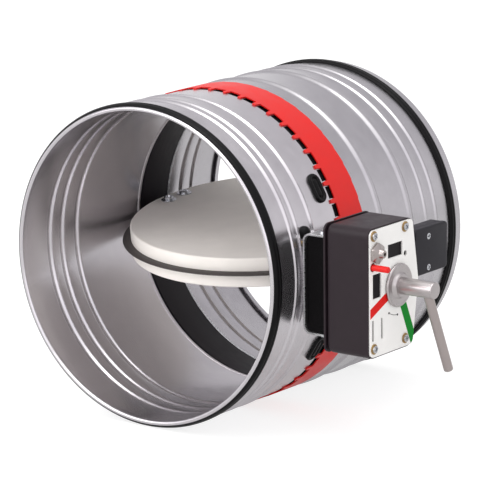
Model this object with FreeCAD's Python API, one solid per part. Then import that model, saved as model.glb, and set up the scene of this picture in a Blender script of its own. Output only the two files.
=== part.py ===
import FreeCAD
import Part
import math
import os

# Round fire damper for a 315 mm duct, all sizes in millimetres.
# The origin is where the blade's pivot axis crosses the duct axis.
# +X points to the actuator, +Y to the rear end of the duct, +Z up.
# The blade is stored open and latched, as the damper hangs in service.

# Casing: two beaded sheet sleeves in line
duct_radius = 157.0
sheet = 1.0
front_reach = 212.0
rear_reach = 110.0
sleeve_joint_y = -70.0
bead_height = 1.6
bead_width = 7.0
front_beads_y = (-175.0, -163.5, -140.0)
rear_beads_y = (47.0, 65.0)
broad_bead_width = 13.0
broad_bead_height = 2.2
broad_beads_y = (-30.0, 20.0)
hem_thickness = 4.6

# Slots round the front sleeve, and the red band whose tabs lie on the webs
slot_count = 54
slot_length = 12.3
slot_width = 12.5
slot_front_y = -100.5
band_thickness = 1.3
band_width = 30.5
band_clearance = 0.15
tab_overreach = 1.0
tab_width = 5.0
tab_tip_width = 3.6

# Smooth liner, strip that swells in a fire, and the ring behind it
liner_gap = 1.8
liner_thickness = 1.0
liner_front_y = -107.0
liner_rear_y = -24.0
liner_roll_radius = 1.7
strip_front_y = -20.0
strip_rear_y = 22.5
strip_thickness = 2.0
strip_clearance = 0.15
retainer_width = 2.6

# Lip seals on both spigots
front_seal_setback = 1.5
rear_seal_setback = 11.0
seal_width = 11.8
seal_land_width = 6.0
seal_height = 3.0
seal_clearance = 0.15

# Blade: two boards with a seal clamped between them
blade_open_tilt = 6.0
board_gap = 9.85
board_thickness = 13.5
board_chamfer = 1.2
blade_seal_gap = 1.25
blade_seal_hold = 16.0
blade_seal_thickness = 3.0
pivot_plate_front_y = -22.0
pivot_plate_rear_y = 38.0
pivot_plate_depth = 40.0
pivot_plate_fit = 0.2
pivot_radius = 6.0
pivot_gap = 0.3
pivot_bore_depth = 24.0
pivot_shaft_hold = 12.0
bolts_y = (-4.0, 22.0)
bolt_setback = 15.0
bolt_radius = 3.0
bolt_head_radius = 5.0
bolt_head_height = 3.2
bolt_washer_radius = 8.0
bolt_washer_thickness = 1.2

# Bushes that carry the pivots and the spindle
running_gap = 0.05
bush_wall = 2.5
bush_flange_radius = 12.0
bush_flange_thickness = 1.6
bush_inner_reach = 6.5
bush_outer_reach = 6.0
hole_clearance = 0.15

# Linkage between the actuator spindle and the blade, outside the casing
spindle_setback = 132.6
spindle_radius = 6.0
blade_crank = 28.0
lever_travel = 84.0
crank_thickness = 4.0
crank_standoff = 9.0
crank_hub_radius = 11.0
crank_eye_radius = 6.4
crank_pin_radius = 3.0
crank_pin_head_radius = 4.8
crank_pin_head_height = 1.8
link_thickness = 3.0
link_width = 8.0
link_side_gap = 0.8
open_pivot_clearance = 1.4

# Mounting channel between the casing and the actuator
channel_seat_gap = 0.2
channel_sheet = 2.0
channel_front_y = -167.0
channel_rear_y = -98.0
channel_top = 46.0
channel_bottom = -52.0
channel_corner = 8.0
back_plate_standoff = 35.0
flange_screw_standoff = 18.2
flange_screw_setback = 8.0
flange_screw_radius = 2.0
flange_screw_length = 8.0
pad_thickness = 2.4
pad_margin = 6.0
pad_wall_setback = 2.5
pad_wall_thickness = 2.5
pad_wall_gap = 0.4
rivet_radius = 2.4
rivet_head_radius = 4.4
rivets_y = (-150.0, -127.5)
rivets_z = (-34.0, 24.0)

# Actuator box, sizes measured from the spindle axis
box_front = 47.3
box_rear_end = 26.1
box_rear_middle = 35.9
box_top = 61.2
box_bottom = 63.5
box_depth = 48.5
box_wall = 2.0
box_corner = 7.0
box_back_edge = 6.0
face_thickness = 1.5
face_inset = 1.6
face_corner = 5.6
face_screw_rear_inset = 14.3
face_screw_front_inset = 7.6
face_screw_top_inset = 7.2
face_screw_bottom_inset = 9.5
face_screw_radius = 2.2
face_screw_head_radius = 3.6
face_screw_head_height = 2.2
face_washer_radius = 5.0
face_washer_thickness = 0.9
boss_radius = 4.6
window_upper = (-16.3, 7.7, 28.0, 41.3)
window_lower = (-41.3, -27.5, -6.0, 17.4)
switch_depth = 14.0
dial_slots_y = (-41.0, -26.4)
dial_slot_low = -46.6
dial_slot_high = -26.4
dial_slot_width = 2.7
test_hole = (12.7, 28.3)
test_hole_radius = 2.6

# Hub, crank stub and lever on the outside
hub_radius = 21.0
hub_thickness = 5.0
hub_face_gap = 0.4
stub_radius = 7.3
stub_length = 28.0
lever_radius = 4.45
lever_length = 93.7
lever_rise = 6.9
lever_seat = 1.0
lever_angle = 23.7

# Release rod, latch and thermal fuse
release_rod_y = -41.2
release_rod_z = 24.6
release_rod_radius = 3.0
release_collar = 0.9
release_hole_gap = 1.2
release_rod_proud = 18.5
release_travel = 6.0
fuse_y = -35.1
fuse_z = 37.2
fuse_cap_radius = 10.4
fuse_cap_height = 4.0
fuse_boss_radius = 4.6
fuse_boss_height = 3.6
fuse_probe_y = -156.3
fuse_probe_z = 33.4
fuse_probe_radius = 3.0
fuse_probe_reach = 19.0
fuse_plunger_y = -40.0
fuse_plunger_radius = 2.5
fuse_plunger_length = 13.0
fuse_holder_depth = 8.0
cam_radius = 22.0
cam_lug_radius = 29.0
cam_lug_root = 10.0
cam_lug_tip = 3.4
stop_pin_radius = 3.0
stop_gap = 0.3
cam_standoff = 20.0
cam_thickness = 5.0
latch_gap = 0.4
latch_pin_radius = 3.0
latch_pivot_y = -34.0
latch_pivot_z = 12.0
pawl_hub_radius = 4.6
pawl_nose_radius = 2.4
pawl_tail_radius = 2.2
pawl_angle = 175.0
rod_nose_radius = 1.4
drum_standoff = 6.0
drum_width = 10.0
drum_radius = 12.0

# Terminal box behind the actuator
terminal_front_y = -43.0
terminal_rear_y = 13.0
terminal_bottom = -16.0
terminal_top = 30.5
terminal_step = 6.0
terminal_depth = 18.0
terminal_wall = 2.0
terminal_cover_thickness = 5.0
terminal_corner = 4.0
terminal_screw_y = -20.1
terminal_screws_z = (-10.2, 20.8)
cable_hole_radius = 3.5
cable_hole_y = -33.0
grommet_wall = 1.8
grommet_lip = 0.9

# Plugs in the front sleeve
slot_plug_upper_angle = 29.3
slot_plug_lower_angle = -31.3
slot_plug_y = -113.0
slot_plug_length = 30.0
slot_plug_width = 16.0
slot_plug_height = 2.6
round_plug_angle = 15.8
round_plug_y = -153.9
round_plug_radius = 6.3

# Sizes that follow from the ones above
inner_radius = duct_radius - sheet
liner_outer_radius = inner_radius - liner_gap
strip_inner_radius = inner_radius - strip_clearance - strip_thickness
board_radius = strip_inner_radius - board_gap
blade_seal_radius = strip_inner_radius - blade_seal_gap
blade_seal_inner_radius = board_radius - blade_seal_hold
bolt_x = board_radius - bolt_setback
pivot_bore_x = board_radius - pivot_bore_depth
pivot_shaft_x = board_radius - pivot_shaft_hold
bush_inner_end = duct_radius - bush_inner_reach
bush_outer_end = duct_radius + bush_outer_reach
channel_web_x = duct_radius + bead_height + channel_seat_gap
slot_rear_y = slot_front_y + slot_width
band_front_y = slot_rear_y
band_rear_y = band_front_y + band_width
blade_half_thickness = board_thickness + blade_seal_thickness / 2
blade_travel = 90.0 + blade_open_tilt
blade_crank_angle = blade_travel / 2
spindle_crank_angle = lever_travel / 2
spindle_crank = (
    blade_crank
    * math.sin(math.radians(blade_crank_angle))
    / math.sin(math.radians(spindle_crank_angle))
)
spindle_y = -spindle_setback
crank_inner_x = duct_radius + crank_standoff
back_plate_x = duct_radius + back_plate_standoff
crank_outer_x = crank_inner_x + crank_thickness
link_inner_x = crank_outer_x + link_side_gap
link_outer_x = link_inner_x + link_thickness
box_back_x = back_plate_x + channel_sheet
box_rim_x = box_back_x + box_depth
cam_inner_x = box_back_x + cam_standoff
drum_inner_x = box_back_x + drum_standoff
fuse_holder_x = cam_inner_x - fuse_holder_depth
fuse_probe_tip_x = duct_radius - fuse_probe_reach
face_x = box_rim_x + face_thickness
hub_x = face_x + hub_face_gap
face_screw_rear = box_rear_end - face_screw_rear_inset
face_screw_front = box_front - face_screw_front_inset
face_screw_top = box_top - face_screw_top_inset
face_screw_bottom = box_bottom - face_screw_bottom_inset
stub_x = hub_x + hub_thickness
lever_axis_x = stub_x + stub_length - lever_seat
terminal_back_x = back_plate_x - terminal_step
terminal_face_x = terminal_back_x + terminal_depth
flange_screw_x = channel_web_x + flange_screw_standoff
flange_screw_y = channel_front_y + flange_screw_setback

parts = {}


def vec(x, y, z):
    return FreeCAD.Vector(x, y, z)


def box(x0, x1, y0, y1, z0, z1):
    return Part.makeBox(x1 - x0, y1 - y0, z1 - z0, vec(x0, y0, z0))


def x_cylinder(radius, x0, x1, y=0.0, z=0.0):
    return Part.makeCylinder(radius, x1 - x0, vec(x0, y, z), vec(1, 0, 0))


def duct_ring(profile):
    """Turn a closed outline of (y, radius) points about the duct axis."""
    corners = [vec(radius, y, 0) for y, radius in profile]
    outline = Part.makePolygon(corners + corners[:1])
    return Part.Face(outline).revolve(vec(0, 0, 0), vec(0, 1, 0), 360)


def turned_on_x(profile, y=0.0, z=0.0):
    """Turn a closed outline of (x, radius) points about an axis along X."""
    corners = [vec(x, y + radius, z) for x, radius in profile]
    outline = Part.makePolygon(corners + corners[:1])
    return Part.Face(outline).revolve(vec(0, y, z), vec(1, 0, 0), 360)


def x_prism(points, x0, x1):
    """Extrude an outline of (y, z) points along X."""
    corners = [vec(x0, y, z) for y, z in points]
    outline = Part.makePolygon(corners + corners[:1])
    return Part.Face(outline).extrude(vec(x1 - x0, 0, 0))


def edges_along_x(shape):
    """Straight edges of a prism that run along X."""
    found = []
    for edge in shape.Edges:
        first, last = edge.Vertexes[0].Point, edge.Vertexes[-1].Point
        run = last - first
        if abs(run.x) > 0.1 and abs(run.y) < 1e-6 and abs(run.z) < 1e-6:
            found.append(edge)
    return found


def rounded_prism(points, x0, x1, corner):
    prism = x_prism(points, x0, x1)
    return prism.makeFillet(corner, edges_along_x(prism))


def strap(centre_a, radius_a, centre_b, radius_b, x0, x1):
    """Flat lever: two round ends joined by their common tangents."""
    ay, az = centre_a
    by, bz = centre_b
    run = math.hypot(by - ay, bz - az)
    along = math.atan2(bz - az, by - ay)
    lean = math.acos((radius_a - radius_b) / run)

    def rim(y, z, radius, angle):
        return vec(x0, y + radius * math.cos(angle), z + radius * math.sin(angle))

    a_left = rim(ay, az, radius_a, along + lean)
    a_far = rim(ay, az, radius_a, along + math.pi)
    a_right = rim(ay, az, radius_a, along - lean)
    b_left = rim(by, bz, radius_b, along + lean)
    b_far = rim(by, bz, radius_b, along)
    b_right = rim(by, bz, radius_b, along - lean)
    outline = Part.Wire(
        [
            Part.Arc(a_left, a_far, a_right).toShape(),
            Part.makeLine(a_right, b_right),
            Part.Arc(b_right, b_far, b_left).toShape(),
            Part.makeLine(b_left, a_left),
        ]
    )
    return Part.Face(outline).extrude(vec(x1 - x0, 0, 0))


def round_the_duct(shape, count):
    """Copies of one shape spaced evenly about the duct axis."""
    copies = []
    for index in range(count):
        copy = shape.copy()
        copy.rotate(vec(0, 0, 0), vec(0, 1, 0), 360.0 * index / count)
        copies.append(copy)
    return Part.makeCompound(copies)


def lifted(shape, angle):
    """Carry a piece built at +X round the duct, up by an angle."""
    shape.rotate(vec(0, 0, 0), vec(0, 1, 0), -angle)
    return shape


def opened(shape):
    """Turn a blade piece from level to the tilt at which it rests open."""
    shape.rotate(vec(0, 0, 0), vec(1, 0, 0), blade_open_tilt)
    return shape


def from_spindle(y, z):
    return spindle_y + y, z


# Casing sleeves

def bead_outline(centre, width, height, radius):
    """Outer line over one rolled bead: up, flat crown and down."""
    half, crown = width / 2, width / 6
    return [
        (centre - half, radius),
        (centre - crown, radius + height),
        (centre + crown, radius + height),
        (centre + half, radius),
    ]


def sleeve_outline(start_y, end_y, beads, radius):
    line = [(start_y, radius)]
    for centre, width, height in sorted(beads):
        line += bead_outline(centre, width, height, radius)
    line.append((end_y, radius))
    return line


def sleeve(start_y, end_y, beads):
    outer = sleeve_outline(start_y, end_y, beads, duct_radius)
    inner = sleeve_outline(start_y, end_y, beads, inner_radius)
    return duct_ring(outer + inner[::-1])


def rim_hem(rim_y, inward):
    """Folded hem at a spigot's mouth; inward is +1 at the front, -1 at the rear."""
    half = hem_thickness / 2
    profile = [
        (rim_y + inward * half, duct_radius),
        (rim_y + inward * half * 0.3, duct_radius - half * 0.3),
        (rim_y, duct_radius - half),
        (rim_y + inward * half * 0.3, duct_radius - half * 1.7),
        (rim_y + inward * half, duct_radius - hem_thickness),
        (rim_y + inward * half * 3, duct_radius - hem_thickness),
        (rim_y + inward * half * 3, duct_radius),
    ]
    return duct_ring(profile)


def front_casing():
    beads = [(y, bead_width, bead_height) for y in front_beads_y]
    body = sleeve(-front_reach + hem_thickness / 2, sleeve_joint_y, beads)
    body = body.fuse(rim_hem(-front_reach, 1)).removeSplitter()
    slot = box(
        inner_radius - 3, duct_radius + 3,
        slot_front_y, slot_rear_y,
        -slot_length / 2, slot_length / 2,
    )
    cutters = round_the_duct(slot, slot_count)
    body = body.cut(cutters)
    for angle in (slot_plug_upper_angle, slot_plug_lower_angle):
        body = body.cut(lifted(slot_plug_body(hole_clearance), angle))
    body = body.cut(lifted(round_plug_neck(hole_clearance), round_plug_angle))
    body = body.cut(fuse_probe_shank(hole_clearance))
    for rivet in rivet_shanks(hole_clearance):
        body = body.cut(rivet)
    return body


def rear_casing():
    beads = [(y, bead_width, bead_height) for y in rear_beads_y]
    beads += [(y, broad_bead_width, broad_bead_height) for y in broad_beads_y]
    body = sleeve(sleeve_joint_y, rear_reach - hem_thickness / 2, beads)
    body = body.fuse(rim_hem(rear_reach, -1)).removeSplitter()
    bore = x_cylinder(bush_body_radius() + hole_clearance, -duct_radius - 5, duct_radius + 5)
    return body.cut(bore)


def inner_liner():
    outer, inner = liner_outer_radius, liner_outer_radius - liner_thickness
    seat = inner_radius - hole_clearance
    body = duct_ring(
        [
            (liner_front_y, seat),
            (liner_front_y, seat - liner_thickness),
            (liner_front_y + 2, inner),
            (liner_rear_y, inner),
            (liner_rear_y, outer),
            (liner_front_y + 3, outer),
            (liner_front_y + 1.5, seat),
        ]
    )
    roll = duct_ring(
        [
            (liner_rear_y - 2 * liner_roll_radius, inner + 0.1),
            (liner_rear_y - 1.4 * liner_roll_radius, inner - 0.9),
            (liner_rear_y - 0.6 * liner_roll_radius, inner - 0.9),
            (liner_rear_y, inner + 0.1),
            (liner_rear_y, seat),
            (liner_rear_y - 2 * liner_roll_radius, seat),
        ]
    )
    return body.fuse(roll).removeSplitter()


def sealing_band():
    low = duct_radius + band_clearance
    high = low + band_thickness
    band = duct_ring(
        [(band_front_y, low), (band_rear_y, low), (band_rear_y, high), (band_front_y, high)]
    )
    tip_y = slot_front_y - tab_overreach
    collar = duct_ring([(tip_y, low), (band_front_y, low), (band_front_y, high), (tip_y, high)])
    corners = [
        vec(low - 2, tip_y, -tab_tip_width / 2),
        vec(low - 2, band_front_y, -tab_width / 2),
        vec(low - 2, band_front_y, tab_width / 2),
        vec(low - 2, tip_y, tab_tip_width / 2),
    ]
    wedge = Part.Face(Part.makePolygon(corners + corners[:1])).extrude(vec(6, 0, 0))
    wedge.rotate(vec(0, 0, 0), vec(0, 1, 0), 180.0 / slot_count)
    tabs = collar.common(round_the_duct(wedge, slot_count))
    return band.fuse(tabs).removeSplitter()


def intumescent_strip():
    outer = inner_radius - strip_clearance
    inner = outer - strip_thickness
    ring = duct_ring(
        [(strip_front_y, inner), (strip_rear_y, inner), (strip_rear_y, outer), (strip_front_y, outer)]
    )
    bore = x_cylinder(bush_body_radius() + 2 * hole_clearance, -duct_radius, duct_radius)
    return ring.cut(bore)


def strip_retainer():
    outer = inner_radius - strip_clearance
    inner = outer - strip_thickness - 0.6
    y0 = strip_rear_y
    y1 = y0 + retainer_width
    lean = retainer_width * 0.3
    return duct_ring(
        [(y0, outer), (y0, inner + 0.5), (y0 + lean, inner), (y1 - lean, inner), (y1, inner + 0.5), (y1, outer)]
    )


def spigot_seal(rim_y, inward, setback):
    """Rubber lip seal: a flat land near the mouth and a lip leaning back."""
    base = duct_radius + seal_clearance
    crown = duct_radius + seal_height
    start = rim_y + inward * setback
    end = start + inward * seal_width
    land = start + inward * 1.2
    land_end = land + inward * seal_land_width
    return duct_ring(
        [(start, base), (start, crown - 0.8), (land, crown), (land_end, crown), (end, crown - 1.9), (end, base)]
    )


# Bushes

def bush_body_radius():
    return pivot_radius + running_gap + bush_wall


def blade_bush_right():
    bore = pivot_radius + running_gap
    wall = bush_body_radius()
    seat = duct_radius + hole_clearance
    return turned_on_x(
        [
            (bush_inner_end, bore),
            (bush_outer_end, bore),
            (bush_outer_end, wall),
            (seat + bush_flange_thickness, wall),
            (seat + bush_flange_thickness, bush_flange_radius),
            (seat, bush_flange_radius),
            (seat, wall),
            (bush_inner_end, wall),
        ]
    )


def blade_bush_left():
    bore = pivot_radius + running_gap
    wall = bush_body_radius()
    seat = duct_radius + hole_clearance
    end = bush_outer_end + 1.6
    return turned_on_x(
        [
            (-bush_inner_end, bore),
            (-bush_outer_end, bore),
            (-bush_outer_end, 0),
            (-end, 0),
            (-end, wall - 1),
            (-end + 1, wall),
            (-seat - bush_flange_thickness, wall),
            (-seat - bush_flange_thickness, bush_flange_radius),
            (-seat, bush_flange_radius),
            (-seat, wall),
            (-bush_inner_end, wall),
        ]
    )


def spindle_bush(x0, x1, flange_x0, flange_x1):
    bore = spindle_radius + running_gap
    wall = bore + bush_wall
    body = x_cylinder(wall, x0, x1, spindle_y)
    flange = x_cylinder(bush_flange_radius, flange_x0, flange_x1, spindle_y)
    return body.fuse(flange).cut(x_cylinder(bore, x0 - 1, x1 + 1, spindle_y)).removeSplitter()


# Blade

def bolt_hole(x, y):
    """Cutter for one bolt, right through the blade."""
    height = 4 * blade_half_thickness
    return Part.makeCylinder(bolt_radius + hole_clearance, height, vec(x, y, -height / 2))


def pivot_bore(end):
    """Cutter that clears the pivot from inside the board out past the casing."""
    return x_cylinder(pivot_radius + pivot_gap, *sorted((end * pivot_bore_x, end * bush_outer_end)))


def blade_board(side):
    """One board; side is +1 for the upper one and -1 for the lower one."""
    low = blade_seal_thickness / 2
    disc = Part.makeCylinder(board_radius, board_thickness, vec(0, 0, low))
    outer_edges = []
    for edge in disc.Edges:
        if edge.Curve.TypeId == "Part::GeomCircle" and edge.BoundBox.ZMin > low + 1:
            outer_edges.append(edge)
    disc = disc.makeChamfer(board_chamfer, outer_edges)
    for end in (-1, 1):
        for y in bolts_y:
            disc = disc.cut(bolt_hole(end * bolt_x, y))
        disc = disc.cut(pivot_bore(end))
    if side < 0:
        disc = disc.mirror(vec(0, 0, 0), vec(0, 0, 1))
    return opened(disc)


def pivot_plate(end, grow):
    """Tongue of a pivot, clamped between the boards; end is -1 left, +1 right."""
    half = blade_seal_thickness / 2 + (1 if grow else 0)
    inner = board_radius - pivot_plate_depth - grow
    outer = board_radius + 2.5 + grow
    x0, x1 = sorted((end * inner, end * outer))
    return box(x0, x1, pivot_plate_front_y - grow, pivot_plate_rear_y + grow, -half, half)


def blade_seal():
    half = blade_seal_thickness / 2
    ring = Part.makeCylinder(blade_seal_radius, blade_seal_thickness, vec(0, 0, -half))
    ring = ring.cut(Part.makeCylinder(blade_seal_inner_radius, 4 * half, vec(0, 0, -2 * half)))
    for end in (-1, 1):
        ring = ring.cut(pivot_plate(end, pivot_plate_fit))
        ring = ring.cut(pivot_bore(end))
        bush_end = bush_inner_end - pivot_gap
        ring = ring.cut(x_cylinder(bush_body_radius() + pivot_gap, *sorted((end * bush_end, end * bush_outer_end))))
    return opened(ring)


def blade_pivot(end):
    """Stub shaft with its tongue; the right one reaches out to the crank."""
    plate = pivot_plate(end, 0)
    corner = pivot_plate_depth * 0.35
    inner = board_radius - pivot_plate_depth
    for y in (pivot_plate_front_y, pivot_plate_rear_y):
        toward = 1 if y < 0 else -1
        points = [vec(end * inner, y, -5), vec(end * (inner + corner), y, -5), vec(end * inner, y + toward * corner, -5)]
        plate = plate.cut(Part.Face(Part.makePolygon(points + points[:1])).extrude(vec(0, 0, 10)))
    far = crank_outer_x if end > 0 else bush_outer_end - 0.5
    shaft = x_cylinder(pivot_radius, *sorted((end * pivot_shaft_x, end * far)))
    body = plate.fuse(shaft).removeSplitter()
    for y in bolts_y:
        body = body.cut(bolt_hole(end * bolt_x, y))
    return opened(body)


def blade_bolts():
    """Two through bolts at each pivot, with socket heads above and nuts below."""
    bolts = []
    under_head = blade_half_thickness + bolt_washer_thickness
    for end in (-1, 1):
        for y in bolts_y:
            centre = vec(end * bolt_x, y, -under_head - 3)
            shank = Part.makeCylinder(bolt_radius, 2 * under_head + 4, centre)
            head = Part.makeCylinder(bolt_head_radius, bolt_head_height, vec(end * bolt_x, y, under_head))
            socket = hexagon(vec(end * bolt_x, y, under_head + 1.2), 2.4, bolt_head_height)
            nut = hexagon(vec(end * bolt_x, y, -under_head - 4.5), bolt_head_radius, 4.5)
            bolts.append(opened(shank.fuse(head).fuse(nut).cut(socket).removeSplitter()))
    return Part.makeCompound(bolts)


def hexagon(base, across_half, height):
    """Hexagonal prism standing on base, half its width across flats given."""
    reach = across_half / math.cos(math.radians(30))
    corners = []
    for index in range(6):
        angle = math.radians(60 * index)
        corners.append(base + vec(reach * math.cos(angle), reach * math.sin(angle), 0))
    return Part.Face(Part.makePolygon(corners + corners[:1])).extrude(vec(0, 0, height))


def blade_washers():
    washers = []
    for end in (-1, 1):
        for y in bolts_y:
            for base in (blade_half_thickness, -blade_half_thickness - bolt_washer_thickness):
                centre = vec(end * bolt_x, y, base)
                disc = Part.makeCylinder(bolt_washer_radius, bolt_washer_thickness, centre)
                hole = Part.makeCylinder(bolt_radius + hole_clearance, 10, centre - vec(0, 0, 4))
                washers.append(opened(disc.cut(hole)))
    return Part.makeCompound(washers)


# Linkage

def crank_point(centre_y, reach, angle):
    """Place of a crank pin; the angle is from straight up towards the front."""
    lean = math.radians(angle)
    return centre_y - reach * math.sin(lean), reach * math.cos(lean)


def crank_arm(centre_y, reach, angle):
    """Flat crank with a square-edged eye, bored for its shaft and its pin."""
    pin = crank_point(centre_y, reach, angle)
    arm = strap((centre_y, 0), crank_hub_radius, pin, crank_eye_radius, crank_inner_x, crank_outer_x)
    arm = arm.cut(x_cylinder(pivot_radius, crank_inner_x - 1, crank_outer_x + 1, centre_y))
    return arm.cut(x_cylinder(crank_pin_radius, crank_inner_x - 1, crank_outer_x + 1, *pin))


def crank_pin(centre_y, reach, angle):
    y, z = crank_point(centre_y, reach, angle)
    head_x = link_outer_x + link_side_gap
    return turned_on_x(
        [
            (crank_inner_x, 0),
            (crank_inner_x, crank_pin_radius),
            (head_x, crank_pin_radius),
            (head_x, crank_pin_head_radius),
            (head_x + crank_pin_head_height, crank_pin_head_radius - 0.8),
            (head_x + crank_pin_head_height, 0),
        ],
        y,
        z,
    )


def link_rod():
    near = crank_point(spindle_y, spindle_crank, spindle_crank_angle)
    far = crank_point(0, blade_crank, blade_crank_angle)
    bar = strap(near, link_width / 2 + 0.01, far, link_width / 2, link_inner_x, link_outer_x)
    for centre in (near, far):
        bar = bar.fuse(x_cylinder(crank_eye_radius, link_inner_x, link_outer_x, *centre))
    bar = bar.removeSplitter()
    near_bore = crank_pin_radius + running_gap
    far_bore = crank_pin_radius + open_pivot_clearance
    bar = bar.cut(x_cylinder(near_bore, link_inner_x - 1, link_outer_x + 1, *near))
    return bar.cut(x_cylinder(far_bore, link_inner_x - 1, link_outer_x + 1, *far))


# Mounting channel

def mounting_channel():
    """Folded channel: a web on the casing and two flanges out to the back plate."""
    outer_points = [
        (channel_front_y, channel_bottom),
        (channel_rear_y, channel_bottom),
        (channel_rear_y, channel_top),
        (channel_front_y, channel_top),
    ]
    solid = x_prism(outer_points, channel_web_x, back_plate_x)
    bends = []
    for edge in solid.Edges:
        middle = edge.BoundBox.Center
        if edge.BoundBox.YLength > 1 and abs(middle.x - channel_web_x) < 0.1:
            bends.append(edge)
    solid = solid.makeFillet(channel_corner, bends)
    core = box(
        channel_web_x + channel_sheet, back_plate_x + 1,
        channel_front_y - 1, channel_rear_y + 1,
        channel_bottom + channel_sheet, channel_top - channel_sheet,
    )
    inner_bends = []
    for edge in core.Edges:
        middle = edge.BoundBox.Center
        if edge.BoundBox.YLength > 1 and middle.x < back_plate_x - 5:
            inner_bends.append(edge)
    core = core.makeFillet(channel_corner - channel_sheet, inner_bends)
    body = solid.cut(core)
    web_out = channel_web_x + channel_sheet
    body = body.cut(x_cylinder(spindle_bush_radius() + hole_clearance, channel_web_x - 1, web_out + 1, spindle_y))
    body = body.cut(fuse_probe_shank(hole_clearance))
    for rivet in rivet_shanks(hole_clearance):
        body = body.cut(rivet)
    for screw in flange_screw_shanks(0):
        body = body.cut(screw)
    return body


def spindle_bush_radius():
    return spindle_radius + running_gap + bush_wall


def rivet_shanks(grow):
    shanks = []
    start = inner_radius - 2 * rivet_head_radius
    end = channel_web_x + 2 * channel_sheet
    for y in rivets_y:
        for z in rivets_z:
            shanks.append(x_cylinder(rivet_radius + grow, start, end, y, z))
    return shanks


def channel_rivets():
    """Blind rivets with spacers that bridge the round casing and the flat web."""
    rivets = []
    outer = channel_web_x + channel_sheet
    for y in rivets_y:
        for z in rivets_z:
            wall_x = math.sqrt(inner_radius**2 - (abs(z) + rivet_radius) ** 2)
            shank = x_cylinder(rivet_radius, wall_x - 1.6, outer + 0.2, y, z)
            tail = x_cylinder(rivet_radius + 0.9, wall_x - 2.6, wall_x - 0.8, y, z)
            head = x_cylinder(rivet_head_radius, outer, outer + 1.5, y, z)
            spacer = x_cylinder(rivet_radius + 1.2, 0, channel_web_x, y, z)
            spacer = spacer.cut(duct_solid(duct_radius + hole_clearance))
            rivets.append(shank.fuse(tail).fuse(head).fuse(spacer).removeSplitter())
    return Part.makeCompound(rivets)


def duct_solid(radius):
    length = front_reach + rear_reach + 20
    return Part.makeCylinder(radius, length, vec(0, -front_reach - 10, 0), vec(0, 1, 0))


def channel_pad():
    """Black pad on the web, cut out round bush and rivets, with a front wall in the open end."""
    x0 = channel_web_x + channel_sheet
    x1 = x0 + pad_thickness
    pad = box(
        x0, x1,
        channel_front_y + 1.5, channel_rear_y - 1.5,
        channel_bottom + channel_sheet + pad_margin, channel_top - channel_sheet - pad_margin,
    )
    pad = pad.makeFillet(4, edges_along_x(pad))
    pad = pad.cut(x_cylinder(bush_flange_radius + 1, x0 - 1, x1 + 1, spindle_y))
    for y in rivets_y:
        for z in rivets_z:
            pad = pad.cut(x_cylinder(rivet_head_radius + 0.6, x0 - 1, x1 + 1, y, z))
    pad = pad.cut(fuse_probe_shank(0.4))
    wall_front = channel_front_y + pad_wall_setback
    inside = channel_sheet + pad_wall_gap
    wall = box(
        x0 + pad_wall_gap, back_plate_x - pad_wall_gap,
        wall_front, wall_front + pad_wall_thickness,
        channel_bottom + inside, channel_top - inside,
    )
    near_web = []
    for edge in wall.Edges:
        if edge.BoundBox.YLength > 1 and edge.BoundBox.XMax < x0 + 1:
            near_web.append(edge)
    wall = wall.makeFillet(channel_corner - channel_sheet, near_web)
    return pad.fuse(wall).removeSplitter()


def flange_screw_shanks(grow):
    shanks = []
    for z in (channel_bottom, channel_top - flange_screw_length):
        centre = vec(flange_screw_x, flange_screw_y, z)
        shanks.append(Part.makeCylinder(flange_screw_radius + grow, flange_screw_length, centre))
    return shanks


def flange_screws():
    """One pan head screw through each flange, near the open end."""
    place = vec(flange_screw_x, flange_screw_y, 0)
    wide = flange_screw_radius * 1.9
    narrow = flange_screw_radius * 1.4
    head = flange_screw_radius * 1.1
    lower, upper = flange_screw_shanks(0)
    upper = upper.fuse(Part.makeCone(wide, narrow, head, place + vec(0, 0, channel_top)))
    lower = lower.fuse(Part.makeCone(narrow, wide, head, place + vec(0, 0, channel_bottom - head)))
    return Part.makeCompound([upper, lower])


# Actuator

def box_outline(inset):
    """Outline of the actuator box: upright front edge, rear edge bulging at mid height."""
    bulge = box_rear_middle - box_rear_end
    side = inset / math.cos(math.atan2(bulge, box_top))
    rear_top = box_rear_end + bulge * inset / box_top - side
    rear_bottom = box_rear_end + bulge * inset / box_bottom - side
    front = -(box_front - inset)
    return [
        from_spindle(front, inset - box_bottom),
        from_spindle(rear_bottom, inset - box_bottom),
        from_spindle(box_rear_middle - side, 0),
        from_spindle(rear_top, box_top - inset),
        from_spindle(front, box_top - inset),
    ]


def face_screw_places():
    places = []
    for y in (-face_screw_front, face_screw_rear):
        for z in (-face_screw_bottom, face_screw_top):
            places.append(from_spindle(y, z))
    return places


def back_plate():
    plate = rounded_prism(box_outline(0), back_plate_x, box_back_x, box_corner)
    plate = plate.cut(x_cylinder(spindle_bush_radius() + hole_clearance, back_plate_x - 1, box_back_x + 1, spindle_y))
    return plate.cut(fuse_probe_shank(hole_clearance))


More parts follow.
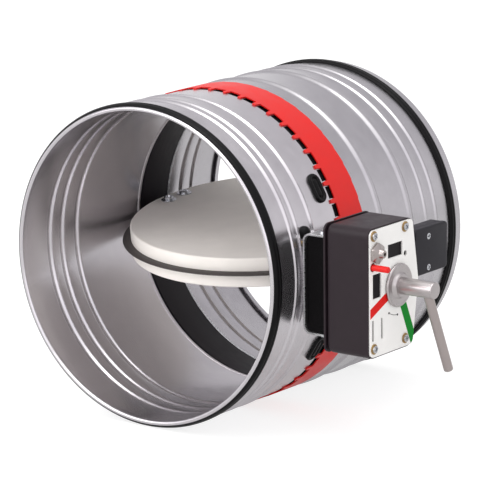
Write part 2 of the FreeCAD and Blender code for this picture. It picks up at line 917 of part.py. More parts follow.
def actuator_housing():
    """Moulded cup with a rounded back, screw bosses and guides for rod and fuse."""
    cup = rounded_prism(box_outline(0), box_back_x, box_rim_x, box_corner)
    back_edges = []
    for edge in cup.Edges:
        if edge.BoundBox.XMax < box_back_x + 0.1:
            back_edges.append(edge)
    cup = cup.makeFillet(box_back_edge, back_edges)
    hollow = rounded_prism(box_outline(box_wall), box_back_x + box_wall, box_rim_x + 1, box_corner - box_wall)
    cup = cup.cut(hollow)
    for y, z in face_screw_places():
        cup = cup.fuse(x_cylinder(boss_radius, box_back_x + 1, box_rim_x, y, z))
        cup = cup.cut(x_cylinder(face_screw_radius, box_rim_x - 12, box_rim_x + 1, y, z))
    rod_y, rod_z = from_spindle(release_rod_y, release_rod_z)
    wall_y = from_spindle(-box_front, 0)[0] + box_wall / 2
    guide = box(box_back_x + 1, cam_inner_x - 2, wall_y, rod_y + 4.0, rod_z - 4, rod_z + 3.4)
    cup = cup.fuse(guide)
    guide_floor = cam_inner_x - 8 - release_travel - 1
    cup = cup.cut(x_cylinder(rod_nose_radius + 0.1, guide_floor, cam_inner_x, rod_y, rod_z))
    floor_in = box_back_x + 2 * box_wall
    cup = cup.cut(x_cylinder(spindle_bush_radius() + hole_clearance, back_plate_x, floor_in, spindle_y))
    cup = cup.cut(fuse_probe_shank(hole_clearance))
    for y, z in stop_pin_places():
        cup = cup.cut(x_cylinder(stop_pin_radius, back_plate_x, floor_in, y, z))
    pawl_y, pawl_z = latch_pivot()
    cup = cup.cut(x_cylinder(latch_pin_radius, back_plate_x, floor_in, pawl_y, pawl_z))
    return cup.removeSplitter()


def face_plate():
    plate = rounded_prism(box_outline(face_inset), box_rim_x, face_x, face_corner)
    x0, x1 = box_rim_x - 1, face_x + 1
    for low_y, high_y, low_z, high_z in (window_upper, window_lower):
        plate = plate.cut(box(x0, x1, spindle_y + low_y, spindle_y + high_y, low_z, high_z))
    for y in dial_slots_y:
        half = dial_slot_width / 2
        plate = plate.cut(box(x0, x1, spindle_y + y - half, spindle_y + y + half, dial_slot_low, dial_slot_high))
    plate = plate.cut(x_cylinder(test_hole_radius, x0, x1, *from_spindle(*test_hole)))
    rod_hole = release_rod_radius + release_hole_gap
    plate = plate.cut(x_cylinder(rod_hole, x0, x1, *from_spindle(release_rod_y, release_rod_z)))
    plate = plate.cut(x_cylinder(fuse_boss_radius + 1, x0, x1, *from_spindle(fuse_y, fuse_z)))
    plate = plate.cut(x_cylinder(spindle_bush_radius() + hole_clearance, x0, x1, spindle_y))
    for y, z in face_screw_places():
        plate = plate.cut(x_cylinder(face_screw_radius + hole_clearance, x0, x1, y, z))
    return plate


def face_screws():
    screws = []
    under_head = face_x + face_washer_thickness
    for y, z in face_screw_places():
        shank = x_cylinder(face_screw_radius - 0.02, box_rim_x - 10, under_head + 0.1, y, z)
        head = turned_on_x(
            [
                (under_head, 0),
                (under_head, face_screw_head_radius),
                (under_head + face_screw_head_height * 0.6, face_screw_head_radius),
                (under_head + face_screw_head_height, face_screw_head_radius * 0.6),
                (under_head + face_screw_head_height, 0),
            ],
            y,
            z,
        )
        top = under_head + face_screw_head_height
        slot = box(top - 0.9, top + 1, y - 3, y + 3, z - 0.45, z + 0.45)
        cross = box(top - 0.9, top + 1, y - 0.45, y + 0.45, z - 3, z + 3)
        screws.append(shank.fuse(head).cut(slot).cut(cross).removeSplitter())
    return Part.makeCompound(screws)


def face_washers():
    washers = []
    for y, z in face_screw_places():
        disc = x_cylinder(face_washer_radius, face_x, face_x + face_washer_thickness, y, z)
        hole = x_cylinder(face_screw_radius + hole_clearance, face_x - 1, face_x + 2, y, z)
        washers.append(disc.cut(hole))
    return Part.makeCompound(washers)


# Spindle group

def spindle():
    return x_cylinder(spindle_radius, channel_web_x + 0.5, stub_x, spindle_y)


def hub_disc():
    """Pressed disc over the face plate: bevelled rim, flat land and raised boss."""
    return turned_on_x(
        [
            (hub_x, spindle_radius),
            (hub_x, hub_radius - 0.6),
            (hub_x + 0.6, hub_radius),
            (hub_x + 1.6, hub_radius),
            (hub_x + 2.8, hub_radius - 2.4),
            (hub_x + 2.8, stub_radius + 4.2),
            (hub_x + hub_thickness, stub_radius + 2.6),
            (hub_x + hub_thickness, spindle_radius),
        ],
        spindle_y,
    )


def lever_direction():
    lean = math.radians(lever_angle)
    return vec(0, math.sin(lean), -math.cos(lean))


def lever_bar(rise, length):
    """Round bar across the stub's end, from above the spindle axis downwards."""
    start = vec(lever_axis_x, spindle_y, 0) - lever_direction() * rise
    return Part.makeCylinder(lever_radius, rise + length, start, lever_direction())


def crank_stub():
    """Round stub, grooved across its end to seat the lever."""
    stub = x_cylinder(stub_radius, stub_x, stub_x + stub_length, spindle_y)
    return stub.cut(lever_bar(2 * stub_radius, 2 * stub_radius))


def crank_lever():
    """Lever bar with a rounded upper end and a bevelled lower end."""
    bar = lever_bar(lever_rise, lever_length)
    upper = [edge for edge in bar.Edges if edge.BoundBox.ZMin > 0 and edge.Closed]
    bar = bar.makeFillet(lever_radius / 2, upper)
    lower = [edge for edge in bar.Edges if edge.BoundBox.ZMax < -lever_length / 2 and edge.Closed]
    return bar.makeChamfer(lever_radius / 6, lower)


def cam_disc():
    """Latch cam: a disc with a notch for the pawl and a lug between the stops."""
    disc = x_cylinder(cam_radius, cam_inner_x, cam_inner_x + cam_thickness, spindle_y)
    lug_reach = cam_lug_radius - cam_lug_tip
    lean = math.radians(lever_angle)
    lug_centre = (spindle_y + lug_reach * math.sin(lean), -lug_reach * math.cos(lean))
    lug = strap((spindle_y, 0), cam_lug_root, lug_centre, cam_lug_tip, cam_inner_x, cam_inner_x + cam_thickness)
    disc = disc.fuse(lug).removeSplitter()
    disc = disc.cut(x_cylinder(spindle_radius, cam_inner_x - 1, cam_inner_x + 9, spindle_y))
    notch_angle = math.radians(pawl_angle)
    notch_y = spindle_y + cam_radius * math.cos(notch_angle)
    notch_z = cam_radius * math.sin(notch_angle)
    return disc.cut(x_cylinder(3.6, cam_inner_x - 1, cam_inner_x + 9, notch_y, notch_z))


def spring_drum():
    drum = x_cylinder(drum_radius, drum_inner_x, drum_inner_x + drum_width, spindle_y)
    return drum.cut(x_cylinder(spindle_radius, drum_inner_x - 1, drum_inner_x + 20, spindle_y))


def return_spring():
    """Flat spiral spring round the drum, drawn as half circles that grow outwards."""
    strip = 0.9
    pitch = 3.0
    first = drum_radius + 1.2
    turns = 3
    x0 = drum_inner_x + 1.0
    inner_line, outer_line = [], []
    for half_turn in range(2 * turns):
        radius = first + pitch * half_turn / 2
        centre = spindle_y + (pitch / 4 if half_turn % 2 else -pitch / 4) + pitch / 4
        side = 1 if half_turn % 2 == 0 else -1
        start_y = centre + side * radius
        end_y = centre - side * radius
        for line, grow in ((inner_line, 0.0), (outer_line, strip)):
            line.append(
                Part.Arc(
                    vec(x0, start_y + side * grow, 0),
                    vec(x0, centre, side * (radius + grow)),
                    vec(x0, end_y - side * grow, 0),
                ).toShape()
            )
    start = Part.makeLine(inner_line[0].Vertexes[0].Point, outer_line[0].Vertexes[0].Point)
    finish = Part.makeLine(inner_line[-1].Vertexes[-1].Point, outer_line[-1].Vertexes[-1].Point)
    outline = Part.Wire(Part.__sortEdges__(inner_line + [finish] + outer_line + [start]))
    return Part.Face(outline).extrude(vec(drum_width - 2.0, 0, 0))


def stop_pin_places():
    """One pin past each end of the lug's sweep, clear of the lug's sloping side."""
    reach = cam_lug_radius - cam_lug_tip
    side = math.acos((cam_lug_root - cam_lug_tip) / reach)
    touch = math.acos((cam_lug_root + stop_pin_radius + stop_gap) / reach)
    half_sum = math.degrees(side - touch)
    places = []
    for angle in (lever_angle + half_sum, lever_angle - lever_travel - half_sum):
        lean = math.radians(angle)
        places.append((spindle_y + reach * math.sin(lean), -reach * math.cos(lean)))
    return places


def stop_pins():
    pins = []
    for y, z in stop_pin_places():
        pins.append(x_cylinder(stop_pin_radius, box_back_x, cam_inner_x + cam_thickness + 2, y, z))
    return Part.makeCompound(pins)


# Release, latch and fuse

def release_rod():
    y, z = from_spindle(release_rod_y, release_rod_z)
    tip = face_x + release_rod_proud
    return turned_on_x(
        [
            (cam_inner_x - 8, 0),
            (cam_inner_x - 8, rod_nose_radius),
            (cam_inner_x + cam_thickness + 1, rod_nose_radius),
            (cam_inner_x + cam_thickness + 4, release_rod_radius),
            (box_rim_x - 6, release_rod_radius),
            (box_rim_x - 6, release_rod_radius + release_collar),
            (box_rim_x - 3, release_rod_radius + release_collar),
            (box_rim_x - 3, release_rod_radius),
            (tip - 0.8, release_rod_radius),
            (tip, release_rod_radius - 0.8),
            (tip, 0),
        ],
        y,
        z,
    )


def latch_pivot():
    return from_spindle(latch_pivot_y, latch_pivot_z)


def latch_pawl():
    """Pawl with its nose over the cam's notch and its tail against the rod's thin end."""
    y, z = latch_pivot()
    reach = cam_radius + latch_gap + pawl_nose_radius
    angle = math.radians(pawl_angle)
    nose = from_spindle(reach * math.cos(angle), reach * math.sin(angle))
    aside = rod_nose_radius + latch_gap + pawl_tail_radius
    tail = from_spindle(release_rod_y + aside, release_rod_z - 1.5)
    x0, x1 = cam_inner_x, cam_inner_x + cam_thickness
    pawl = strap((y, z), pawl_hub_radius, nose, pawl_nose_radius, x0, x1)
    pawl = pawl.fuse(strap((y, z), pawl_hub_radius + 0.01, tail, pawl_tail_radius, x0, x1)).removeSplitter()
    return pawl.cut(x_cylinder(latch_pin_radius + running_gap, x0 - 1, x1 + 1, y, z))


def latch_pin():
    y, z = latch_pivot()
    return turned_on_x(
        [
            (box_back_x, 0),
            (box_back_x, latch_pin_radius),
            (box_back_x + box_wall, latch_pin_radius),
            (box_back_x + box_wall, pawl_hub_radius),
            (cam_inner_x - stop_gap, pawl_hub_radius),
            (cam_inner_x - stop_gap, latch_pin_radius),
            (cam_inner_x + cam_thickness + 2, latch_pin_radius),
            (cam_inner_x + cam_thickness + 2, 0),
        ],
        y,
        z,
    )


def fuse_cap():
    """Faceted cap with a raised centre boss, screwed in from outside."""
    y, z = from_spindle(fuse_y, fuse_z)
    cap = turned_on_x(
        [
            (face_x, 0),
            (face_x, fuse_cap_radius),
            (face_x + fuse_cap_height * 0.55, fuse_cap_radius),
            (face_x + fuse_cap_height, fuse_cap_radius - 2.0),
            (face_x + fuse_cap_height, fuse_boss_radius + 0.8),
            (face_x + fuse_cap_height + fuse_boss_height, fuse_boss_radius),
            (face_x + fuse_cap_height + fuse_boss_height, 0),
        ],
        y,
        z,
    )
    neck = x_cylinder(fuse_boss_radius, box_rim_x - 0.5, face_x + 1, y, z)
    socket_x = face_x + fuse_cap_height + fuse_boss_height - 2.5
    socket = x_cylinder(1.8, socket_x, socket_x + 5, y, z)
    cap = cap.fuse(neck).cut(socket)
    flat = fuse_cap_radius - 1.2
    for angle in (30, 90, 150, 210, 270, 330):
        cutter = box(face_x + 0.8, face_x + 4.2, y + flat, y + flat + 6, z - 12, z + 12)
        cutter.rotate(vec(0, y, z), vec(1, 0, 0), angle)
        cap = cap.cut(cutter)
    return cap.removeSplitter()


def fuse_holder():
    """Block behind the cap that holds the melting link and guides the plunger."""
    low_y, low_z = from_spindle(box_wall + 0.4 - box_front, fuse_z - 8.0)
    high_y, high_z = from_spindle(fuse_y + 17.2, fuse_z + 8.8)
    block = box(fuse_holder_x, box_rim_x - 0.5, low_y, high_y, low_z, high_z)
    block = block.makeFillet(1.5, edges_along_x(block))
    plunger_y, plunger_z = from_spindle(fuse_plunger_y, fuse_z)
    bore_end = fuse_holder_x + fuse_plunger_length + 1
    block = block.cut(x_cylinder(fuse_plunger_radius + running_gap, fuse_holder_x - 1, bore_end, plunger_y, plunger_z))
    return block.cut(x_cylinder(fuse_probe_radius, fuse_holder_x - 1, cam_inner_x, fuse_probe_y, fuse_probe_z))


def fuse_plunger():
    y, z = from_spindle(fuse_plunger_y, fuse_z)
    return x_cylinder(fuse_plunger_radius, cam_inner_x - fuse_plunger_length, cam_inner_x, y, z)


def fuse_probe_shank(grow):
    return x_cylinder(fuse_probe_radius + grow, fuse_probe_tip_x, box_back_x + box_wall + 1, fuse_probe_y, fuse_probe_z)


def fuse_probe():
    """Sensing tube from the fuse holder through the casing into the duct."""
    return turned_on_x(
        [
            (fuse_probe_tip_x, 0),
            (fuse_probe_tip_x, fuse_probe_radius - 1),
            (fuse_probe_tip_x + 1, fuse_probe_radius),
            (cam_inner_x, fuse_probe_radius),
            (cam_inner_x, 0),
        ],
        fuse_probe_y,
        fuse_probe_z,
    )


def limit_switch(window, depth):
    """Microswitch block whose dark face fills a window in the face plate."""
    low_y, high_y, low_z, high_z = window
    margin = 1.2
    x1 = box_rim_x - 0.3
    block = box(
        x1 - depth, x1,
        spindle_y + low_y - margin, spindle_y + high_y + margin,
        low_z - margin, high_z + margin,
    )
    return block


# Terminal box

def terminal_bracket():
    """Strap stepped down from the back plate to carry the terminal box."""
    top, bottom = terminal_top - 6, terminal_bottom + 5
    outer_x = terminal_back_x
    inner_x = outer_x - channel_sheet
    start = from_spindle(box_rear_middle - 18, 0)[0]
    bend = start + 22
    end = terminal_rear_y - 6
    profile = [
        (back_plate_x - channel_sheet, start),
        (back_plate_x, start),
        (back_plate_x, bend),
        (outer_x, bend + 6),
        (outer_x, end),
        (inner_x, end),
        (inner_x, bend + 5.2),
        (back_plate_x - channel_sheet, bend - 0.8),
    ]
    corners = [vec(x, y, bottom) for x, y in profile]
    return Part.Face(Part.makePolygon(corners + corners[:1])).extrude(vec(0, 0, top - bottom))


def terminal_outline():
    return [
        (terminal_front_y, terminal_bottom),
        (terminal_rear_y, terminal_bottom),
        (terminal_rear_y, terminal_top),
        (terminal_front_y, terminal_top),
    ]


def terminal_base():
    """Open tray on the strap, with screw pillars and a cable entry."""
    rim_x = terminal_face_x - terminal_cover_thickness
    tray = rounded_prism(terminal_outline(), terminal_back_x, rim_x, terminal_corner)
    wall = terminal_wall
    hollow = rounded_prism(
        [
            (terminal_front_y + wall, terminal_bottom + wall),
            (terminal_rear_y - wall, terminal_bottom + wall),
            (terminal_rear_y - wall, terminal_top - wall),
            (terminal_front_y + wall, terminal_top - wall),
        ],
        terminal_back_x + wall, rim_x + 1, terminal_corner - wall + 0.5,
    )
    tray = tray.cut(hollow)
    for z in terminal_screws_z:
        tray = tray.fuse(x_cylinder(4.0, terminal_back_x + 1, rim_x, terminal_screw_y, z))
        tray = tray.cut(x_cylinder(1.6, terminal_back_x + 4, rim_x + 1, terminal_screw_y, z))
    entry = cable_entry_cylinder(cable_hole_radius + grommet_wall + 0.2, 8.0)
    return tray.cut(entry).removeSplitter()


def cable_entry_x():
    rim_x = terminal_face_x - terminal_cover_thickness
    return (terminal_back_x + rim_x) / 2 + 0.3


def cable_entry_cylinder(radius, length):
    """Upright cylinder on the entry's axis, from below the tray's floor."""
    place = vec(cable_entry_x(), cable_hole_y, terminal_bottom - 2 * terminal_wall)
    return Part.makeCylinder(radius, length, place, vec(0, 0, 1))


def cable_grommet():
    """Rubber grommet in the terminal box's lower wall."""
    neck = cable_entry_cylinder(cable_hole_radius + grommet_wall, 8.0)
    below = vec(cable_entry_x(), cable_hole_y, terminal_bottom - terminal_wall)
    flange_radius = cable_hole_radius + grommet_wall + grommet_lip
    flange = Part.makeCylinder(flange_radius, terminal_wall - hole_clearance, below, vec(0, 0, 1))
    body = neck.fuse(flange)
    keep = box(
        terminal_back_x, terminal_face_x,
        terminal_front_y, terminal_rear_y,
        terminal_bottom - terminal_wall - 1.0, terminal_bottom + terminal_wall + 1.6,
    )
    body = body.common(keep)
    return body.cut(cable_entry_cylinder(cable_hole_radius, 20.0)).removeSplitter()


def terminal_cover():
    """Cap with bevelled front edges and two countersunk screw holes."""
    rim_x = terminal_face_x - terminal_cover_thickness
    cap = rounded_prism(terminal_outline(), rim_x, terminal_face_x, terminal_corner)
    front_edges = []
    for edge in cap.Edges:
        if edge.BoundBox.XMin > terminal_face_x - 0.1:
            front_edges.append(edge)
    cap = cap.makeChamfer(0.8, front_edges)
    for z in terminal_screws_z:
        cap = cap.cut(x_cylinder(1.8, rim_x - 1, terminal_face_x + 1, terminal_screw_y, z))
        cap = cap.cut(x_cylinder(3.4, terminal_face_x - 1.6, terminal_face_x + 1, terminal_screw_y, z))
    return cap


def terminal_screws():
    screws = []
    head_x = terminal_face_x - 1.6
    for z in terminal_screws_z:
        shank = x_cylinder(1.5, terminal_back_x + 6, head_x + 0.1, terminal_screw_y, z)
        head = x_cylinder(3.1, head_x, head_x + 2.2, terminal_screw_y, z)
        slot = box(head_x + 1.4, head_x + 4, terminal_screw_y - 4, terminal_screw_y + 4, z - 0.4, z + 0.4)
        screws.append(shank.fuse(head).cut(slot).removeSplitter())
    return Part.makeCompound(screws)


def terminal_strip():
    """Row of clamp blocks on the tray's floor."""
    x0 = terminal_back_x + terminal_wall
    strip = box(x0, x0 + 7.0, terminal_rear_y - 20, terminal_rear_y - 5, terminal_bottom + 4, terminal_top - 4)
    rows = 5
    step = (terminal_top - terminal_bottom - 8) / rows
    for index in range(rows):
        z = terminal_bottom + 4 + step * (index + 0.5)
        strip = strip.cut(x_cylinder(2.2, x0 + 3.5, x0 + 9, terminal_rear_y - 12.5, z))
    return strip


# Plugs in the casing

def stadium(length, width, x0, x1, y):
    half = (length - width) / 2
    return strap((y, -half), width / 2 + 0.005, (y, half), width / 2, x0, x1)


def slot_plug_body(grow):
    seat = duct_radius + hole_clearance
    return stadium(slot_plug_length - 6 + 2 * grow, slot_plug_width - 6 + 2 * grow, seat - 2.5, seat, slot_plug_y)


def slot_plug(angle):
    """Oval rubber plug with a raised rim and a ridge down its middle."""
    seat = duct_radius + hole_clearance
    top = seat + slot_plug_height
    cap = stadium(slot_plug_length, slot_plug_width, seat, top, slot_plug_y)
    recess = stadium(slot_plug_length - 6, slot_plug_width - 6, top - 1.4, top + 1, slot_plug_y)
    ridge = stadium(slot_plug_length - 12, 3.0, top - 1.5, top - 0.2, slot_plug_y)
    body = cap.cut(recess).fuse(ridge).fuse(slot_plug_body(0)).removeSplitter()
    return lifted(body, angle)


def round_plug_neck(grow):
    seat = duct_radius + hole_clearance
    return x_cylinder(round_plug_radius - 2 + grow, seat - 3, seat, round_plug_y)


def round_plug():
    """Domed rubber plug that closes the hole above the channel."""
    seat = duct_radius + hole_clearance
    r = round_plug_radius
    dome = turned_on_x(
        [(seat, 0), (seat, r), (seat + 1.6, r), (seat + 4.2, r * 0.8), (seat + 5.8, r * 0.42), (seat + 6.2, 0)],
        round_plug_y,
    )
    return lifted(dome.fuse(round_plug_neck(0)).removeSplitter(), round_plug_angle)


def build_all():
    parts["front_casing"] = front_casing()
    parts["rear_casing"] = rear_casing()
    parts["inner_liner"] = inner_liner()
    parts["sealing_band"] = sealing_band()
    parts["intumescent_strip"] = intumescent_strip()
    parts["strip_retainer"] = strip_retainer()
    parts["front_seal"] = spigot_seal(-front_reach, 1, front_seal_setback)
    parts["rear_seal"] = spigot_seal(rear_reach, -1, rear_seal_setback)
    parts["blade_bush_left"] = blade_bush_left()
    parts["blade_bush_right"] = blade_bush_right()
    web_out = channel_web_x + channel_sheet
    plate_back = back_plate_x - 1.5 * channel_sheet
    parts["spindle_bush_inner"] = spindle_bush(channel_web_x + 0.2, web_out + 4, web_out, web_out + 1.6)
    parts["spindle_bush_middle"] = spindle_bush(plate_back, box_back_x + box_wall + 1.5, plate_back, back_plate_x)
    parts["spindle_bush_outer"] = spindle_bush(box_rim_x - 5, face_x, box_rim_x - 2, box_rim_x)
    parts["mounting_channel"] = mounting_channel()
    parts["channel_pad"] = channel_pad()
    parts["channel_rivets"] = channel_rivets()
    parts["flange_screws"] = flange_screws()
    parts["back_plate"] = back_plate()
    parts["actuator_housing"] = actuator_housing()
    parts["face_plate"] = face_plate()
    parts["face_screws"] = face_screws()
    parts["face_washers"] = face_washers()
    parts["return_spring"] = return_spring()
    parts["stop_pins"] = stop_pins()
    parts["latch_pin"] = latch_pin()
    parts["fuse_cap"] = fuse_cap()
    parts["fuse_holder"] = fuse_holder()
    parts["fuse_probe"] = fuse_probe()
    parts["limit_switch_open"] = limit_switch(window_upper, switch_depth)
    parts["limit_switch_closed"] = limit_switch(window_lower, switch_depth)
    parts["terminal_bracket"] = terminal_bracket()
    parts["terminal_base"] = terminal_base()
    parts["terminal_cover"] = terminal_cover()
    parts["terminal_screws"] = terminal_screws()
    parts["terminal_strip"] = terminal_strip()
    parts["cable_grommet"] = cable_grommet()
    parts["slot_plug_upper"] = slot_plug(slot_plug_upper_angle)
    parts["slot_plug_lower"] = slot_plug(slot_plug_lower_angle)
    parts["round_plug"] = round_plug()
    parts["upper_board"] = blade_board(1)
    parts["lower_board"] = blade_board(-1)
    parts["blade_seal"] = blade_seal()
    parts["left_pivot"] = blade_pivot(-1)
    parts["right_shaft"] = blade_pivot(1)
    parts["blade_bolts"] = blade_bolts()
    parts["blade_washers"] = blade_washers()
    parts["blade_crank"] = crank_arm(0, blade_crank, blade_crank_angle)
    parts["blade_crank_pin"] = crank_pin(0, blade_crank, blade_crank_angle)
    parts["link_rod"] = link_rod()
    parts["spindle"] = spindle()
    parts["hub_disc"] = hub_disc()
    parts["crank_stub"] = crank_stub()
    parts["crank_lever"] = crank_lever()
    parts["drive_arm"] = crank_arm(spindle_y, spindle_crank, spindle_crank_angle)
    parts["drive_arm_pin"] = crank_pin(spindle_y, spindle_crank, spindle_crank_angle)
    parts["cam_disc"] = cam_disc()
    parts["spring_drum"] = spring_drum()
    parts["release_rod"] = release_rod()
    parts["latch_pawl"] = latch_pawl()
    parts["fuse_plunger"] = fuse_plunger()


def write_all():
    os.makedirs("parts", exist_ok=True)
    for name, shape in parts.items():
        shape.exportStep("parts/" + name + ".step")


build_all()
write_all()
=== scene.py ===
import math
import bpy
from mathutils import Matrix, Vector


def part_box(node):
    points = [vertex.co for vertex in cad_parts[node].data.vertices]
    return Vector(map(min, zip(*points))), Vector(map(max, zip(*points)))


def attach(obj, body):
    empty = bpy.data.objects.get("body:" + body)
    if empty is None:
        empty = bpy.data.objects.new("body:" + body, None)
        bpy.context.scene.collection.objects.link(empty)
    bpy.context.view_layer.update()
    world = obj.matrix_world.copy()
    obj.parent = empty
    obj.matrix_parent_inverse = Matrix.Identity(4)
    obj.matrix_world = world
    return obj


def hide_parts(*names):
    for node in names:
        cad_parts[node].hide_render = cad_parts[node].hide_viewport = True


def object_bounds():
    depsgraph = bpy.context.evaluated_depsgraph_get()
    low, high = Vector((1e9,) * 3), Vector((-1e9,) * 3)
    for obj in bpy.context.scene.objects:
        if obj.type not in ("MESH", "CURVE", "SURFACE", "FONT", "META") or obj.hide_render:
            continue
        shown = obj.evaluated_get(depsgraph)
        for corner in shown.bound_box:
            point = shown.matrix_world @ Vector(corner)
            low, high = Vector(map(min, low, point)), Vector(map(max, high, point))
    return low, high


bl_info = {
    "name": "Round fire damper",
    "version": (1, 0, 0),
    "blender": (4, 5, 0),
    "location": "View3D > Sidebar > Fire damper",
    "description": "Dresses the packed fire damper with detailed surfaces, finishes and a studio",
    "category": "Object",
}

import bmesh
import bpy
import numpy as np
from bpy.props import FloatProperty, FloatVectorProperty, PointerProperty
from bpy.types import Operator, Panel, PropertyGroup
from mathutils import Matrix, Vector

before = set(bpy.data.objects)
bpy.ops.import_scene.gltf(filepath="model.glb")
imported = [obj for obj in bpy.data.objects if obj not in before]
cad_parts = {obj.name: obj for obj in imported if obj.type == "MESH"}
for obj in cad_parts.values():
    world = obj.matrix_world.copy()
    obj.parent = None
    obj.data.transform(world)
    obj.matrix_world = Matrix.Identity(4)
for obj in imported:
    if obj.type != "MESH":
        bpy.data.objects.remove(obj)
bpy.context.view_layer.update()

MM = 0.001
MICRON = 0.000001
TAU = 2 * math.pi
duct_steps = 216


def shade(red, green, blue):
    """Linear colour from the 0 to 255 values a picture shows."""
    value = np.array([red, green, blue]) / 255.0
    return tuple(float(v) for v in np.where(value > 0.04045, ((value + 0.055) / 1.055) ** 2.4, value / 12.92))


def length(name, description, millimetres):
    return FloatProperty(
        name=name, description=description, default=millimetres * MM, unit="LENGTH", subtype="DISTANCE",
        precision=5,
    )


def colour(name, description, *tone):
    return FloatVectorProperty(
        name=name, description=description, default=shade(*tone), size=3, subtype="COLOR", min=0.0, max=1.0
    )


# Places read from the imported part, in metres

def middle(node_name):
    """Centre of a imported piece's box."""
    return [(a + b) / 2 for a, b in zip(*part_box(node_name))]


front_rim_y, joint_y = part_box("front_casing")[0].y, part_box("front_casing")[1].y
rear_rim_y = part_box("rear_casing")[1].y
band_low, band_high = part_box("sealing_band")
spindle_y = middle("hub_disc")[1]
face_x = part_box("face_plate")[1].x
hub_x, stub_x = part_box("hub_disc")[0].x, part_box("hub_disc")[1].x
floor_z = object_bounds()[0][2]

# Places and angles read off the photograph

stub_tip_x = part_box("crank_stub")[1].x + 9 * MM
red_stripe_lean, green_stripe_lean = -66.5, 23.8
arc_radius, arc_span = 28.5 * MM, (-31.5, -1.5)
blade_tilt, lever_lean = 6.0, 23.7


# Meshes from grids of points

def linked(name, data):
    obj = bpy.data.objects.new(name, data)
    bpy.context.scene.collection.objects.link(obj)
    return obj


def link(name, vertices, faces):
    """Mesh object from its points and faces."""
    mesh = bpy.data.meshes.new(name)
    mesh.from_pydata(np.asarray(vertices, float).reshape(-1, 3).tolist(), [], faces)
    return linked(name, mesh)


def cells_of(index, close_rows=False):
    """Corners of each cell of a grid whose last column joins its first."""
    index = np.concatenate([index, index[:, :1]], axis=1)
    if close_rows:
        index = np.concatenate([index, index[:1]], axis=0)
    return np.stack([index[:-1, :-1], index[:-1, 1:], index[1:, 1:], index[1:, :-1]], axis=-1)


def grid(name, points, close_rows=False, keep=None):
    """Surface through a grid of points: each cell joins four neighbours, and keep marks the cells that stay."""
    rows, columns = points.shape[:2]
    cells = cells_of(np.arange(rows * columns).reshape(rows, columns), close_rows)
    cells = cells[keep] if keep is not None else cells.reshape(-1, 4)
    return link(name, points, cells.tolist())


def capped(name, points, angle, both=True):
    """Surface through loops of points, with its last loop filled, and its first if both."""
    rows, columns = points.shape[:2]
    index = np.arange(rows * columns).reshape(rows, columns)
    faces = cells_of(index).reshape(-1, 4).tolist()
    faces += [index[0][::-1].tolist()] * both + [index[-1].tolist()]
    return smooth(weld(link(name, points, faces)), angle)


def arranged(axis, along, first, second):
    """Points from distances along one axis and along the two across it."""
    order = {"X": (along, first, second), "Y": (first, along, second), "Z": (first, second, along)}[axis]
    return np.stack(np.broadcast_arrays(*order), axis=-1)


def swept(axis, along, radius, theta, centre=(0.0, 0.0)):
    """Points at distances along an axis, each at a radius and an angle theta round it."""
    return arranged(axis, along, centre[0] + radius * np.cos(theta), centre[1] + radius * np.sin(theta))


def circle(t):
    """Point of the unit circle at each angle t."""
    return np.stack([np.cos(t), np.sin(t)], axis=-1)


def weld(obj, outward=True):
    """Merges doubled corners, drops unused ones and turns closed shells outwards."""
    work = bmesh.new()
    work.from_mesh(obj.data)
    bmesh.ops.delete(work, geom=[v for v in work.verts if not v.link_faces], context="VERTS")
    bmesh.ops.remove_doubles(work, verts=work.verts, dist=1e-6)
    bmesh.ops.dissolve_degenerate(work, edges=work.edges, dist=1e-7)
    if outward:
        bmesh.ops.recalc_face_normals(work, faces=work.faces)
    work.to_mesh(obj.data)
    work.free()
    return obj


def smooth(obj, angle=35.0):
    obj.data.shade_smooth()
    obj.data.set_sharp_from_angle(angle=math.radians(angle))
    return obj


def joined(name, pieces):
    """One object from several like pieces."""
    work = bmesh.new()
    for piece in pieces:
        work.from_mesh(piece.data)
    mesh = bpy.data.meshes.new(name)
    work.to_mesh(mesh)
    work.free()
    for piece in pieces:
        bpy.data.objects.remove(piece)
    return linked(name, mesh)


def softened(points, radius, steps=4):
    """Rounds the corners of a closed outline: each corner becomes a parabola between
    points one radius away along its two sides."""
    corner = np.asarray(points, float)
    to_before, to_after = np.roll(corner, 1, axis=0) - corner, np.roll(corner, -1, axis=0) - corner
    near = np.linalg.norm(to_before, axis=1, keepdims=True)
    far = np.linalg.norm(to_after, axis=1, keepdims=True)
    reach = np.broadcast_to(np.asarray(radius, float).reshape(-1, 1), near.shape)
    reach = np.minimum(reach, 0.49 * np.minimum(near, far))
    start = corner + to_before / near * reach
    end = corner + to_after / far * reach
    t = np.linspace(0, 1, steps + 1).reshape(1, -1, 1)
    curve = (1 - t) ** 2 * start[:, None] + 2 * t * (1 - t) * corner[:, None] + t**2 * end[:, None]
    return curve.reshape(-1, corner.shape[1])


def turned(name, profile, axis="X", centre=(0.0, 0.0), steps=duct_steps, angle=35.0):
    """Turned surface: a closed profile of (distance along the axis, radius) swept round it.
    The point at angle t lies at radius times (cos t, sin t) across the axis."""
    profile = np.asarray(profile, float)
    t = np.arange(steps) * TAU / steps
    points = swept(axis, profile[:, :1], profile[:, 1:], t, centre)
    return smooth(weld(grid(name, points, close_rows=True)), angle)


def ring_profile(low, high, inner, outer):
    """Profile of a plain ring from low to high between two radii."""
    return [(low, inner), (low, outer), (high, outer), (high, inner)]


def inset(outline, amount):
    """Moves each point of a closed outline inwards along its normal."""
    tangent = np.roll(outline, -1, axis=0) - np.roll(outline, 1, axis=0)
    tangent /= np.linalg.norm(tangent, axis=1, keepdims=True)
    normal = np.stack([-tangent[:, 1], tangent[:, 0]], axis=1)
    area = np.sum(outline[:, 0] * np.roll(outline[:, 1], -1) - outline[:, 1] * np.roll(outline[:, 0], -1))
    return outline + normal * amount * (1 if area > 0 else -1)


